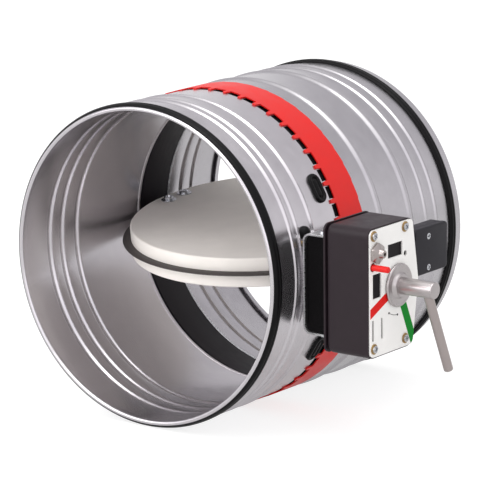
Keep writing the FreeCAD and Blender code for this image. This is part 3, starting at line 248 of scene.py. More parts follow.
def lofted(name, outline, sections, axis="X", angle=35.0):
    """Closed body through copies of one outline: each section is (distance along the
    axis, inset), so a quarter circle of sections rounds an edge. The ends are capped."""
    flat = np.stack([inset(outline, amount) for _, amount in sections])
    level = np.array(sections)[:, :1]
    return capped(name, arranged(axis, level, flat[..., 0], flat[..., 1]), angle)


def edge_sections(low, high, low_edge, high_edge, steps=4):
    """Sections from low to high with quarter-circle edges of the given sizes."""
    bend = 1 - circle(np.linspace(0, math.pi / 2, steps + 1))[:, ::-1]
    first = bend[::-1] * low_edge + [low, 0]
    last = bend * [-high_edge, high_edge] + [high, 0]
    return [*first, *last]


def rotation(axis, degrees):
    return Matrix.Rotation(math.radians(degrees), 4, axis)


def shift(*by):
    return Matrix.Translation(by)


def placed(obj, *matrices):
    """Moves a mesh by each matrix in turn."""
    for matrix in matrices:
        obj.data.transform(matrix)
    return obj


def walled(obj, thickness, side):
    """Gives a sheet its wall and fixes it in the mesh, so rims and slots shade as crisp edges."""
    smooth(weld(obj, outward=False), 50)
    wall = obj.modifiers.new("wall", "SOLIDIFY")
    wall.thickness = thickness
    wall.offset = side
    graph = bpy.context.evaluated_depsgraph_get()
    mesh = bpy.data.meshes.new_from_object(obj.evaluated_get(graph))
    obj.modifiers.clear()
    obj.data = mesh
    return smooth(obj)


def dressed(obj, material, body="root", replaces=()):
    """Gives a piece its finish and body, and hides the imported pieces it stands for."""
    obj.data.materials.clear()
    obj.data.materials.append(material)
    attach(obj, body)
    if replaces:
        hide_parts(*replaces)


# Finishes, each read on Object coordinates

finishes = {}


def node(tree, kind, x, y, inputs=(), **settings):
    """New shader node at a place in the editor, with its settings and unlinked inputs."""
    made = tree.nodes.new("ShaderNode" + kind)
    made.location = (x, y)
    for key, value in settings.items():
        setattr(made, key, value)
    for key, value in dict(inputs).items():
        made.inputs[key].default_value = value
    return made


def colour_ramp(tree, x, y, *stops):
    """Colour ramp through stops of (position, colour)."""
    made = node(tree, "ValToRGB", x, y)
    elements = made.color_ramp.elements
    for index, (position, tone) in enumerate(stops):
        stop = elements[index] if index < 2 else elements.new(position)
        stop.position = position
        stop.color = (*tone, 1)
    return made


def wire(tree, *links):
    """Joins sockets, each link being (node, output, node, input)."""
    for source, output, target, entry in links:
        tree.links.new(source.outputs[output], target.inputs[entry])


def finish(name, base, rough, metal=0.0, second=0.93, stretch=(1, 1, 1), scale=300.0, depth=20,
           rough_spread=0.06, coat=0.0, grain=None, detail=4.0, gloss=0.5):
    """Principled finish: one stretched noise drifts the colour towards the second, which is
    a colour or a share of the base, with the roughness and a shallow relief. Grain is the
    scale and depth of a finer noise under it. Depths are in thousandths of a millimetre."""
    if name in finishes:
        return finishes[name]
    if isinstance(second, float):
        second = [c * second for c in base]
    material = bpy.data.materials.new(name)
    material.use_nodes = True
    tree = material.node_tree
    shader = tree.nodes["Principled BSDF"]
    for key, value in (
        ("Metallic", metal), ("Specular IOR Level", gloss), ("Coat Weight", coat), ("Coat Roughness", 0.2),
    ):
        shader.inputs[key].default_value = value
    place = node(tree, "TexCoord", -1200, 0)
    mapping = node(tree, "Mapping", -1000, 0, {"Scale": stretch})
    noise = node(tree, "TexNoise", -800, 0, {"Scale": scale, "Detail": detail})
    drift = colour_ramp(tree, -560, 160, (0.25, second), (0.75, base))
    reach = {"From Min": 0.3, "From Max": 0.7, "To Min": rough - rough_spread, "To Max": rough + rough_spread}
    spread = node(tree, "MapRange", -560, -120, reach)
    relief = node(tree, "Bump", -300, -320, {"Strength": 1.0, "Distance": depth * MICRON})
    wire(
        tree, (place, "Object", mapping, "Vector"), (mapping, "Vector", noise, "Vector"),
        (noise, "Fac", drift, "Fac"), (drift, "Color", shader, "Base Color"),
        (noise, "Fac", spread, "Value"), (spread, "Result", shader, "Roughness"),
        (noise, "Fac", relief, "Height"), (relief, "Normal", shader, "Normal"),
    )
    if grain:
        fine = node(tree, "TexNoise", -800, -400, {"Scale": grain[0], "Detail": 2.0})
        bump = node(tree, "Bump", -560, -460, {"Distance": grain[1] * MICRON})
        wire(tree, (place, "Object", fine, "Vector"), (fine, "Fac", bump, "Height"), (bump, "Normal", relief, "Normal"))
    finishes[name] = material
    return material


def galvanised(name, tone):
    """Zinc-coated sheet: soft pale and grey zinc flowers with a trace of relief."""
    return finish(name, tone, 0.25, metal=0.95, scale=70, depth=0.3, rough_spread=0.015, detail=2.0)


# Sizes and colours that a user would change

class CasingSettings(PropertyGroup):
    duct_radius: length("Duct radius", "Outside of the sheet sleeves", 157)
    sheet: length("Sheet", "Thickness of the sheet", 1)
    bead_height: length("Bead height", "Rise of the narrow beads", 1.7)
    bead_width: length("Bead width", "Width of the narrow beads", 7)
    lining_bead_height: length("Lining bead height", "Depth of the beads in the lining", 2.3)
    lining_bead_width: length("Lining bead width", "Width of the beads in the lining", 9.5)
    broad_height: length("Broad bead height", "Rise of the broad beads", 2.2)
    broad_width: length("Broad bead width", "Width of the broad beads", 13)
    hem: length("Hem", "Thickness of the rolled hem", 4.6)
    slot_length: length("Slot length", "Slot size round the duct", 12.3)
    band_thickness: length("Band thickness", "Thickness of the red band", 1.3)
    tab_width: length("Tab width", "Width of a tab where it leaves the band", 5)
    tab_tip: length("Tab tip", "Width of a tab at its tip", 3.6)


class BladeSettings(PropertyGroup):
    radius: length("Board radius", "Radius of the two boards", 144)
    thickness: length("Board thickness", "Thickness of one board", 13.5)
    seal_radius: length("Seal radius", "Outer radius of the blade seal", 152.6)
    seal_thickness: length("Seal thickness", "Thickness of the blade seal", 3)


class ActuatorSettings(PropertyGroup):
    hub_radius: length("Hub radius", "Radius of the disc on the face", 21)
    stub_radius: length("Stub radius", "Radius of the crank stub", 8.1)
    lever_radius: length("Lever radius", "Radius of the crank lever", 4.6)
    red_width: length("Red stripe width", "Width of the red stripe", 8.6)
    green_width: length("Green stripe width", "Width of the green stripe", 9.8)
    cap_radius: length("Cap radius", "Radius of the fuse cap", 10.4)


class FinishSettings(PropertyGroup):
    zinc: colour("Zinc", "Galvanised sheet", 207, 203, 207)
    # Same galvanised sheet as the front, a shade darker: painted shade for the dimmer light on the rear sleeve.
    shaded_rear_zinc: colour("Rear zinc", "Galvanised sheet of the rear sleeve", 191, 188, 192)
    red: colour("Red", "Red band and release rod", 220, 28, 24)
    green: colour("Green", "Green stripe", 0, 132, 36)
    rubber: colour("Rubber", "Seals and plugs", 13, 12, 14)
    housing: colour("Housing", "Actuator housing", 42, 33, 38)
    face: colour("Face", "Face plate", 242, 240, 238)
    board: colour("Board", "Blade boards", 250, 244, 238)
    steel: colour("Steel", "Crank lever", 172, 162, 160)
    floor: colour("Floor", "Studio floor", 240, 240, 240)


def settings(context):
    """Settings of the casing, blade, actuator and finishes, in that order."""
    return [getattr(context.scene, name) for name in groups]


def red_film(colours):
    return finish("red_film", colours.red, 0.42, scale=60, coat=0.04, grain=(1800, 10), gloss=0.25)


def black_rubber(colours):
    return finish("black_rubber", colours.rubber, 0.4, second=0.75, scale=220, grain=(2600, 12), gloss=0.12)


def bright_zinc():
    return finish("bright_zinc", shade(205, 206, 208), 0.26, 1.0, shade(178, 180, 186), scale=500, depth=10)


def moulded(colours):
    return finish(
        "moulded_housing", colours.housing, 0.42, second=0.88, scale=90, depth=10, grain=(3200, 10), gloss=0.2,
    )


# Casing

def sheet_rows(low, high, beads, extra=()):
    """Places along the duct: close together over the beads, and at each extra edge."""
    places = [low, high, *extra]
    for centre, width, _ in beads:
        places += list(centre + np.linspace(-0.5, 0.5, 17) * width)
    rows = np.unique(np.round(np.array(places), 6))
    return rows[(rows >= low) & (rows <= high)]


def hem_curve(rim, inward, radius, hem):
    """Rolled hem: half a circle round the rim, then a short lip back inside."""
    half = hem / 2
    t = np.linspace(math.pi / 2, 1.5 * math.pi, 13)
    curve = circle(t) * [inward * half, half] + [rim + inward * half, radius - half]
    return np.concatenate([curve, [[rim + inward * 3 * half, radius - hem]]])


def beaded(rows, radius, beads):
    """Line of (y, radius) along a sheet: each bead rises as a squared cosine over its width."""
    rise = np.zeros_like(rows)
    for centre, width, height in beads:
        reach = np.clip((rows - centre) / width, -0.5, 0.5)
        rise += height * np.cos(math.pi * reach) ** 2
    return np.stack([rows, radius + rise], axis=1)


def sleeve(node_name, line, theta, casing, zinc, keep=None):
    """Sheet sleeve: each (y, radius) of the line at each angle theta, with its wall."""
    name = node_name.replace("casing", "sleeve")
    obj = walled(grid(name, swept("Y", line[:, :1], line[:, 1:], theta), keep=keep), casing.sheet, -1)
    dressed(obj, zinc, replaces=(node_name,))


slot_count = 54
slot_front_y, slot_rear_y = -100.5 * MM, -88.0 * MM
front_beads_y = np.array([-175.0, -163.5, -140.0]) * MM
lining_beads_y = np.array([-168.5, -149.5, -126.5]) * MM
broad_beads_y = np.array([-30.0, 20.0]) * MM
rear_beads_y = np.array([47.0, 65.0]) * MM


class DAMPER_OT_front_sleeve(Operator):
    """Front sleeve: beads, a rolled hem and a ring of slots"""
    bl_idname = "damper.front_sleeve"
    bl_label = "Front sleeve"

    def execute(self, context):
        casing, _, _, colours = settings(context)
        beads = [(y, casing.bead_width, casing.bead_height) for y in front_beads_y]
        hem = hem_curve(front_rim_y, 1, casing.duct_radius, casing.hem)
        rows = sheet_rows(hem[0, 0], joint_y, beads, (slot_front_y, slot_rear_y))[::-1]
        rows = rows[rows > hem[0, 0] + 1e-6]
        line = np.concatenate([beaded(rows, casing.duct_radius, beads), hem])
        pitch = TAU / slot_count
        half_slot = casing.slot_length / casing.duct_radius / 2
        steps = np.concatenate([np.linspace(-half_slot, half_slot, 6), [pitch / 2]])
        theta = (np.arange(slot_count)[:, None] * pitch + steps).ravel()
        cell_y = (line[:-1, 0] + line[1:, 0]) / 2
        in_slot_rows = (cell_y > slot_front_y) & (cell_y < slot_rear_y)
        in_slot_rows[len(rows):] = False
        in_slot_columns = np.tile(np.arange(7) < 5, slot_count)
        keep = ~(in_slot_rows[:, None] & in_slot_columns)
        sleeve("front_casing", line, theta, casing, galvanised("galvanised_sheet", colours.zinc), keep)
        return {"FINISHED"}


class DAMPER_OT_rear_sleeve(Operator):
    """Rear sleeve: broad and narrow beads and a rolled hem"""
    bl_idname = "damper.rear_sleeve"
    bl_label = "Rear sleeve"

    def execute(self, context):
        casing, _, _, colours = settings(context)
        beads = [(y, casing.broad_width, casing.broad_height) for y in broad_beads_y]
        beads += [(y, casing.bead_width, casing.bead_height) for y in rear_beads_y]
        hem = hem_curve(rear_rim_y, -1, casing.duct_radius, casing.hem)[::-1]
        rows = sheet_rows(joint_y, hem[-1, 0], beads)[::-1]
        rows = rows[rows < hem[-1, 0] - 1e-6]
        line = np.concatenate([hem, beaded(rows, casing.duct_radius, beads)])
        theta = np.arange(duct_steps) * TAU / duct_steps
        # The rear sleeve takes the darker copy of the zinc, painted shade.
        sleeve("rear_casing", line, theta, casing, galvanised("shaded_rear_galvanised_sheet", colours.shaded_rear_zinc))
        return {"FINISHED"}


class DAMPER_OT_inner_rings(Operator):
    """Lining with its beads and rolled end, a dark ring behind the slots painted as their shade, black strip and its
    ring
    """
    bl_idname = "damper.inner_rings"
    bl_label = "Inner rings"

    def execute(self, context):
        casing, _, _, colours = settings(context)
        seat = casing.duct_radius - casing.sheet - 0.15 * MM
        low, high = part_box("inner_liner")
        roll, wall, sheet = 1.7 * MM, 153.2 * MM, 1 * MM
        start = front_rim_y + casing.hem
        beads = [(y, casing.lining_bead_width, casing.lining_bead_height) for y in lining_beads_y]
        inside = beaded(sheet_rows(start, high.y - 2 * roll, beads), wall, beads)
        t = np.linspace(0, math.pi, 9)
        rolled = np.stack([high.y - roll - roll * np.cos(t), wall - 0.6 * roll * np.sin(t)], axis=1)
        outside = np.array([
            (high.y, seat), (high.y - 2 * roll, seat), (high.y - 2 * roll, wall + sheet),
            (low.y, wall + sheet), (low.y - 4 * MM, seat), (start, seat),
        ])
        liner = turned("liner", np.concatenate([inside, rolled, outside]), "Y")
        zinc = galvanised("galvanised_sheet", colours.zinc)
        dressed(liner, zinc, replaces=("inner_liner",))
        # Dark ring just outside the lining, behind the slots: painted shade, so that the slots read dark.
        dark = finish("painted_slot_shade", shade(22, 21, 23), 0.6, second=shade(15, 14, 16), gloss=0.2)
        back, front_y, rear_y = wall + 1.1 * MM, slot_front_y - 3 * MM, slot_rear_y + 3 * MM
        line = ring_profile(front_y, rear_y, back, back + 0.5 * MM)
        dressed(turned("slot_shade_backing", line, "Y"), dark)
        strip = finish(
            "strip_black", shade(32, 27, 33), 0.5, second=shade(24, 20, 25), stretch=(0.3, 1.2, 0.3),
            depth=40, gloss=0.2,
        )
        for name, node_name, deep, corner, material, slot in (
            ("black_strip", "intumescent_strip", 2 * MM, 0.5 * MM, strip, "black_strip"),
            ("retainer_ring", "strip_retainer", 2.6 * MM, 0.9 * MM, bright_zinc(), "galvanised"),
        ):
            low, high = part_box(node_name)
            ring = turned(name, softened(ring_profile(low.y, high.y, seat, seat - deep), corner), "Y")
            dressed(ring, material, replaces=(node_name,))
        return {"FINISHED"}


class DAMPER_OT_sealing_band(Operator):
    """Red film round the casing, with a tapering tab over each web between the slots"""
    bl_idname = "damper.sealing_band"
    bl_label = "Sealing band"

    def execute(self, context):
        casing, _, _, colours = settings(context)
        base = casing.duct_radius + 0.15 * MM
        slot_cover = 6 * MM
        tip, root, rear = band_low.y, slot_rear_y - slot_cover, band_high.y
        rows = np.concatenate([np.linspace(rear, root, 7)[:-1], np.linspace(root, tip, 6)])
        down = np.clip((root - rows) / (root - tip), 0, 1)
        width = (casing.tab_width + (casing.tab_tip - casing.tab_width) * down[:, None]) / base
        pitch = TAU / slot_count
        on_tab = np.array([-0.5, -0.17, 0.17, 0.5]) * width
        beside = width / 2 + np.array([1, 2, 3, 4]) / 5 * (pitch - width)
        columns = np.concatenate([on_tab, beside], axis=1)
        centres = (np.arange(slot_count) + 0.5) * pitch
        theta = (centres[None, :, None] + columns[:, None, :]).reshape(len(rows), -1)
        y = np.broadcast_to(rows[:, None], theta.shape).copy()
        y[0] -= 0.9 * MM * np.tile(np.linspace(0, 1, 8), slot_count)
        tab_cells = np.tile(np.arange(8) < 3, slot_count)
        band_cells = (rows[:-1] + rows[1:]) / 2 > root
        keep = band_cells[:, None] | tab_cells
        obj = walled(grid("red_band", swept("Y", y, base, theta), keep=keep), casing.band_thickness, 1)
        dressed(obj, red_film(colours), replaces=("sealing_band",))
        return {"FINISHED"}


class DAMPER_OT_spigot_seals(Operator):
    """Rubber lip seals: a lip that thins to the rim, two grooves and a flat land"""
    bl_idname = "damper.spigot_seals"
    bl_label = "Spigot seals"

    def execute(self, context):
        casing, _, _, colours = settings(context)
        base = casing.duct_radius + 0.1 * MM
        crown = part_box("front_seal")[1].z
        for side, inward in (("front", 1), ("rear", -1)):
            low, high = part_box(side + "_seal")
            start = low.y if inward > 0 else high.y
            along = np.array([0, 0, 2.4, 4.6, 5.2, 6.0, 6.6, 9.0, 9.6, 10.4, 11.8, 11.8]) * MM
            under = np.array([9, 2.2, 0.6, 0, 0.7, 0.7, 0, 0.1, 1.1, 1.1, 1.9, 9]) * MM
            radius = np.maximum(crown - under, base)
            line = softened(np.stack([start + inward * along, radius], axis=1), 0.35 * MM, 3)
            seal = turned(side + "_lip_seal", line, "Y")
            dressed(seal, black_rubber(colours), replaces=(side + "_seal",))
        return {"FINISHED"}


def stadium(long, wide, count=24):
    """Outline of a slot: two half circles joined by straight sides, long side along the second axis."""
    top = wide / 2 * circle(np.linspace(0, math.pi, count)) + [0, (long - wide) / 2]
    return np.concatenate([top, -top])


class DAMPER_OT_casing_plugs(Operator):
    """Oval plugs with a raised rim and middle ridge, and the round domed plug"""
    bl_idname = "damper.casing_plugs"
    bl_label = "Casing plugs"

    def execute(self, context):
        casing, _, _, colours = settings(context)
        rubber = black_rubber(colours)
        radius = casing.duct_radius
        profile = np.array([
            (0, -0.6), (0, 1.6), (0.5, 2.4), (1.4, 2.7), (2.6, 2.6), (3.4, 2.1), (3.9, 1.1), (5.2, 1.0),
            (5.6, 1.2), (6.0, 2.1), (6.6, 2.5), (7.4, 2.6),
        ]) * MM
        for node_name, angle in (("slot_plug_upper", 29.3), ("slot_plug_lower", -31.3)):
            loops = []
            for amount, rise in profile:
                loop = stadium(30 * MM - 2 * amount, max(16 * MM - 2 * amount, 0.6 * MM))
                bend = np.sqrt(radius**2 - loop[:, 1] ** 2)
                loops.append(arranged("X", bend + rise, loop[:, 0], loop[:, 1]))
            plug = capped(node_name + "_rubber", np.stack(loops), 50)
            placed(plug, shift(0, middle(node_name)[1], 0), rotation("Y", -angle))
            dressed(plug, rubber, replaces=(node_name,))
        t = np.linspace(0, math.pi / 2, 12)
        dome = np.stack([1.6 + 4.6 * np.sin(t), 6.0 * np.cos(t)], axis=1)
        line = np.concatenate([[(-0.8, 0), (-0.8, 6.3), (1.2, 6.3), (1.6, 6.0)], dome]) * MM + [radius, 0]
        plug = turned("domed_plug", line, steps=48, angle=50)
        placed(plug, shift(0, middle("round_plug")[1], 0), rotation("Y", -15.8))
        dressed(plug, rubber, replaces=("round_plug",))
        return {"FINISHED"}


# Blade

class DAMPER_OT_blade(Operator):
    """Two boards with eased edges and the lip seal clamped between them"""
    bl_idname = "damper.blade"
    bl_label = "Blade"

    def execute(self, context):
        _, blade, _, colours = settings(context)
        board = finish("blade_board", colours.board, 0.72, scale=35, depth=50, grain=(700, 50))
        tilt = rotation("X", blade_tilt)
        low, edge = blade.seal_thickness / 2, blade.radius
        high, chamfer = low + blade.thickness, 1.2 * MM
        for name, side in (("upper_board", 1), ("lower_board", -1)):
            line = [(low, 0), (low, edge), (high - chamfer, edge), (high, edge - chamfer), (high, 0)]
            line = softened(line, [0, 0.3 * MM, 0.5 * MM, 0.5 * MM, 0], 3) * [side, 1]
            piece = placed(turned(name + "_disc", line, "Z"), tilt)
            dressed(piece, board, "blade", (name,))
        edge, inner, tip, taper = blade.seal_radius, 128 * MM, 0.4 * MM, 4 * MM
        line = [(-low, inner), (-low, edge - taper), (-tip, edge), (tip, edge), (low, edge - taper), (low, inner)]
        seal = placed(turned("blade_lip", softened(line, 0.4 * MM, 3), "Z"), tilt)
        dark = finish("blade_rubber", shade(72, 66, 64), 0.6, second=shade(58, 53, 52), scale=200, depth=40)
        dressed(seal, dark, "blade", ("blade_seal",))
        return {"FINISHED"}


def slotted_disc(name, radius, height, slot, depth, cross=False, rings=14, steps=48):
    """Screw head as a height over a disc: a dome with a slot pressed into it.
    The height at (r, t) is the dome less the slot's depth where the slot runs."""
    r = np.concatenate([[0], np.linspace(0.06, 0.9, rings), [0.96, 1.0, 1.0]]) * radius
    t = np.arange(steps) * TAU / steps
    u, v = r[:, None] * np.cos(t), r[:, None] * np.sin(t)
    dome = height * np.sqrt(np.clip(1 - (r / radius * 0.8) ** 2, 0, 1))
    inside = np.abs(u) < slot / 2
    if cross:
        inside = (inside | (np.abs(v) < slot / 2)) & (r[:, None] < 0.72 * radius)
    level = np.where(inside, dome[:, None] - depth, dome[:, None])
    level[-1] = 0
    return capped(name, arranged("X", level, u, v), 40, both=False)


class DAMPER_OT_blade_fasteners(Operator):
    """Through bolts at the two pivots, with wide washers, nuts, and slotted or hollow heads"""
    bl_idname = "damper.blade_fasteners"
    bl_label = "Blade fasteners"

    def execute(self, context):
        _, blade, _, _ = settings(context)
        tilt = rotation("X", blade_tilt)
        top = blade.seal_thickness / 2 + blade.thickness
        washer, half_nut = 1.2 * MM, 5.4 * MM
        base = top + washer
        washers, heads = [], []
        for x, y in np.array([(-129, -4), (-129, 22), (129, -4), (129, 22)]) * MM:
            for side in (1, -1):
                line = softened(ring_profile(0, 1.2, 3.2, 8.0), 0.3, 3) * MM
                disc = turned("washer", (line + [top, 0]) * [side, 1], "Z", (x, y), 40)
                washers.append(placed(disc, tilt))
            if y > 0:
                head = slotted_disc("head", 5 * MM, 3.0 * MM, 1.3 * MM, 1.3 * MM)
            else:
                line = [(0, 0), (0, 5), (2.6, 5), (3.2, 4.4), (3.2, 3.0), (1.4, 2.7), (1.4, 0)]
                head = turned("head", softened(line, 0.25, 2) * MM, steps=40)
            heads.append(placed(head, rotation("Y", -90), tilt @ shift(x, y, base)))
            hexagon = softened(half_nut * circle(np.arange(6) * TAU / 6), 0.5 * MM, 2)
            nut = lofted("nut", hexagon + [x, y], edge_sections(-base - 4.5 * MM, -base, 0.5 * MM, 0.1 * MM), "Z")
            heads.append(placed(nut, tilt))
        dressed(joined("blade_washer_set", washers), bright_zinc(), "blade", ("blade_washers",))
        dressed(joined("blade_bolt_set", heads), bright_zinc(), "blade", ("blade_bolts",))
        return {"FINISHED"}


# Actuator

def box_outline(shrink, corner):
    """Outline of the actuator box about the spindle: straight front, rear edge bulging at mid height."""
    front, rear_end, rear_middle, top, bottom = -47.3, 26.1, 35.9, 61.2, -63.5
    corners = [(front, bottom), (rear_end, bottom), (rear_middle, 0), (rear_end, top), (front, top)]
    outline = softened(corners, [corner, corner, 14.0, corner, corner], 8)
    return inset(outline, shrink) * MM + [spindle_y, 0]


class DAMPER_OT_housing(Operator):
    """Moulded housing: rounded back edges, straight walls and an open rim"""
    bl_idname = "damper.housing"
    bl_label = "Actuator housing"

    def execute(self, context):
        _, _, _, colours = settings(context)
        low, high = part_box("actuator_housing")
        wall, back_edge, rim_edge = 2 * MM, 6 * MM, 0.4 * MM
        sections = edge_sections(low.x, high.x, back_edge, rim_edge, 6)
        sections += [(high.x, wall - 0.2 * MM), (high.x - 0.3 * MM, wall), (low.x + wall, wall)]
        shell = lofted("housing_shell", box_outline(0, 9.5), sections)
        dressed(shell, moulded(colours), replaces=("actuator_housing",))
        return {"FINISHED"}


def clipped(points, outline):
    """Part of a convex polygon inside a convex outline that runs anticlockwise: for each
    side of the outline, points outside it move to where the polygon's edges cross it."""
    for start, end in zip(outline, np.roll(outline, -1, axis=0)):
        after = np.roll(points, -1, axis=0)
        edge = end - start
        here = edge[0] * (points[:, 1] - start[1]) - edge[1] * (points[:, 0] - start[0])
        there = np.roll(here, -1)
        crossing = (here > 0) != (there > 0)
        share = np.where(crossing, here / np.where(crossing, here - there, 1), 0)[:, None]
        both = np.stack([points, points + share * (after - points)], axis=1).reshape(-1, 2)
        points = both[np.stack([here > 0, crossing], axis=1).ravel()]
    return points


def printed(name, points):
    """Thin print that stands a little proud of the face plate."""
    return lofted(name, points, [(face_x - 0.02 * MM, 0), (face_x + 0.12 * MM, 0)])


class DAMPER_OT_face_marks(Operator):
    """Plain red and green stripes and the small arc printed on the face plate"""
    bl_idname = "damper.face_marks"
    bl_label = "Face marks"

    def execute(self, context):
        _, _, actuator, colours = settings(context)
        centre = np.array([spindle_y, 0])
        plate = box_outline(1.7, 9.0)
        near, far = actuator.hub_radius - 2 * MM, 90 * MM
        for name, angle, width, ink, tone, slot in (
            ("red_stripe", red_stripe_lean, actuator.red_width, "red_print", colours.red, "rod_red"),
            ("green_stripe", green_stripe_lean, actuator.green_width, "green_print", colours.green, "face_white"),
        ):
            lean, half = math.radians(angle), width / 2
            along = np.array([math.sin(lean), -math.cos(lean)])
            across = np.array([-along[1], along[0]])
            corners = [(near, -half), (far, -half), (far, half), (near, half)]
            points = np.array([centre + along * reach + across * side for reach, side in corners])
            print_ink = finish(ink, tone, 0.5, second=0.92, depth=0, gloss=0.1)
            dressed(printed(name, clipped(points, plate)), print_ink)
        dark = finish("dark_print", shade(40, 36, 38), 0.5, second=shade(56, 52, 52), depth=0)
        line_half, dot_radius = 0.25 * MM, 1.1 * MM
        turn = circle(np.radians(np.linspace(*arc_span, 17)) - math.pi / 2)
        arc = np.concatenate([turn * (arc_radius - line_half), turn[::-1] * (arc_radius + line_half)])
        pieces = [printed("arc", arc + centre)]
        dot = circle(np.linspace(0, TAU, 17)[:-1]) * dot_radius
        pieces += [printed("dot", dot + centre + turn[end] * arc_radius) for end in (0, -1)]
        dressed(joined("dial_arc", pieces), dark)
        return {"FINISHED"}


class DAMPER_OT_face_fasteners(Operator):
    """Cross-head screws on wide washers at the corners of the face plate"""
    bl_idname = "damper.face_fasteners"
    bl_label = "Face fasteners"

    def execute(self, context):
        yellow = finish("yellow_zinc", shade(178, 146, 92), 0.32, 1.0, shade(150, 124, 92), scale=260, depth=10)
        washers, heads = [], []
        places = [(spindle_y + y * MM, z * MM) for y in (-39.7, 11.8) for z in (-54.0, 54.0)]
        for index, (y, z) in enumerate(places):
            line = softened(ring_profile(0, 0.9, 2.4, 5.0), 0.25, 3) * MM + [face_x, 0]
            washers.append(turned("washer", line, "X", (y, z), 40))
            head = slotted_disc("head", 3.6 * MM, 2.2 * MM, 0.9 * MM, 1.2 * MM, cross=True)
            heads.append(placed(head, rotation("X", 20 + 37 * index), shift(face_x + 0.9 * MM, y, z)))
        dressed(joined("face_washer_set", washers), yellow, replaces=("face_washers",))
        dressed(joined("face_screw_set", heads), bright_zinc(), replaces=("face_screws",))
        return {"FINISHED"}


class DAMPER_OT_fuse_cap(Operator):
    """Faceted cap of the thermal fuse with its raised boss"""
    bl_idname = "damper.fuse_cap"
    bl_label = "Fuse cap"

    def execute(self, context):
        _, _, actuator, _ = settings(context)
        _, y, z = middle("fuse_cap")
        radius = actuator.cap_radius
        t = np.arange(96) * TAU / 96
        hexagon = radius * 0.885 / np.cos((t + math.pi / 6) % (math.pi / 3) - math.pi / 6)
        hexagon = np.minimum(hexagon, radius * 0.99)
        levels = np.array([0, 0, 0.5, 0.6, 2.6, 3.0, 5.0, 5.4, 8.4, 9.2, 9.5, 9.5, 6.5, 6.5])
        scale = np.array([0, 0.9, 0.9, 1, 1, 0.96, 0.5, 0.42, 0.38, 0.34, 0.26, 0.17, 0.17, 0])
        faceted = np.array([0, 0, 0, 1, 1, 1, 1, 0, 0, 0, 0, 0, 0, 0])
        across = scale[:, None] * (radius + faceted[:, None] * (hexagon - radius))
        points = swept("X", face_x + levels[:, None] * MM, across, t, (y, z))
        cap = smooth(weld(grid("fuse_cap_metal", points)), 30)
        metal = finish("cap_metal", shade(176, 168, 164), 0.3, 1.0, shade(164, 156, 154), scale=60, depth=0)
        dressed(cap, metal, replaces=("fuse_cap",))
        return {"FINISHED"}


class DAMPER_OT_crank(Operator):
    """Hub disc, round stub with a flat end, and the crank lever let into its underside"""
    bl_idname = "damper.crank"
    bl_label = "Hub and crank"

    def execute(self, context):
        _, _, actuator, colours = settings(context)
        radius = actuator.hub_radius
        zinc = finish("turned_zinc", shade(186, 180, 180), 0.32, 1.0, shade(176, 170, 170), scale=60, depth=0)
        line = np.array([
            (0.5, 0), (1.7, 0), (2.6, 1.0), (2.6, 2.2), (1.9, 3.4), (1.9, 7.6), (2.8, 8.8), (4.6, 10.2),
        ]) * [MM, -MM] + [hub_x, radius]
        line = [(hub_x, 5 * MM), (hub_x, radius - 0.4 * MM), *line, (stub_x, radius - 11.2 * MM), (stub_x, 5 * MM)]
        hub = turned("hub_plate", softened(line, 0.4 * MM, 3), "X", (spindle_y, 0), 96)
        dressed(hub, zinc, "spindle", ("hub_disc",))
        steel = finish("lever_steel", colours.steel, 0.34, metal=0.95, stretch=(1, 1, 0.08), depth=0)
        line = ring_profile(stub_x - 1 * MM, stub_tip_x, 0, actuator.stub_radius)
        stub = turned("crank_stub_round", softened(line, [0, 0, 1.2 * MM, 0]), "X", (spindle_y, 0), 96, 50)
        dressed(stub, zinc, "spindle", ("crank_stub",))
        axis = shift(middle("crank_lever")[0], spindle_y, 0)
        top, tip = 2 * MM, 93.7 * MM
        line = softened(ring_profile(top, tip, 0, actuator.lever_radius), [0, 0, 0.9 * MM, 0])
        lever = turned("crank_lever_rod", line, "Z", steps=64, angle=50)
        placed(lever, rotation("X", 180), axis @ rotation("X", lever_lean))
        dressed(lever, steel, "spindle", ("crank_lever",))
        return {"FINISHED"}


class DAMPER_OT_terminal_box(Operator):
    """Terminal box: tray, bevelled cover and its two screws"""
    bl_idname = "damper.terminal_box"
    bl_label = "Terminal box"

    def execute(self, context):
        low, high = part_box("terminal_cover")
        plastic = finish(
            "terminal_plastic", shade(38, 36, 42), 0.42, second=shade(32, 30, 36), scale=120, depth=10,
            grain=(3000, 10), gloss=0.2,
        )
        corners = [(low.y, low.z), (high.y, low.z), (high.y, high.z), (low.y, high.z)]
        outline = softened(corners, 5 * MM, 6)
        cover = lofted("terminal_lid", outline, edge_sections(low.x + 0.1 * MM, high.x, 0.3 * MM, 1.2 * MM))
        dressed(cover, plastic, replaces=("terminal_cover",))
        tray_sections = edge_sections(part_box("terminal_base")[0].x, low.x, 1.0 * MM, 0.1 * MM, 3)
        tray = lofted("terminal_tray", inset(outline, 0.4 * MM), tray_sections)
        dressed(tray, plastic, replaces=("terminal_base",))
        heads = []
        screw_low, screw_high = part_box("terminal_screws")
        screw_y, screw_radius = middle("terminal_screws")[1], 3.1 * MM
        for index, z in enumerate((screw_low.z + screw_radius, screw_high.z - screw_radius)):
            head = slotted_disc("head", screw_radius, 1.4 * MM, 0.9 * MM, 0.8 * MM, cross=True)
            turn = Matrix.Rotation(0.5 + index, 4, "X")
            heads.append(placed(head, turn, shift(high.x - 0.7 * MM, screw_y, z)))
        dressed(joined("terminal_screw_set", heads), bright_zinc(), replaces=("terminal_screws",))
        return {"FINISHED"}


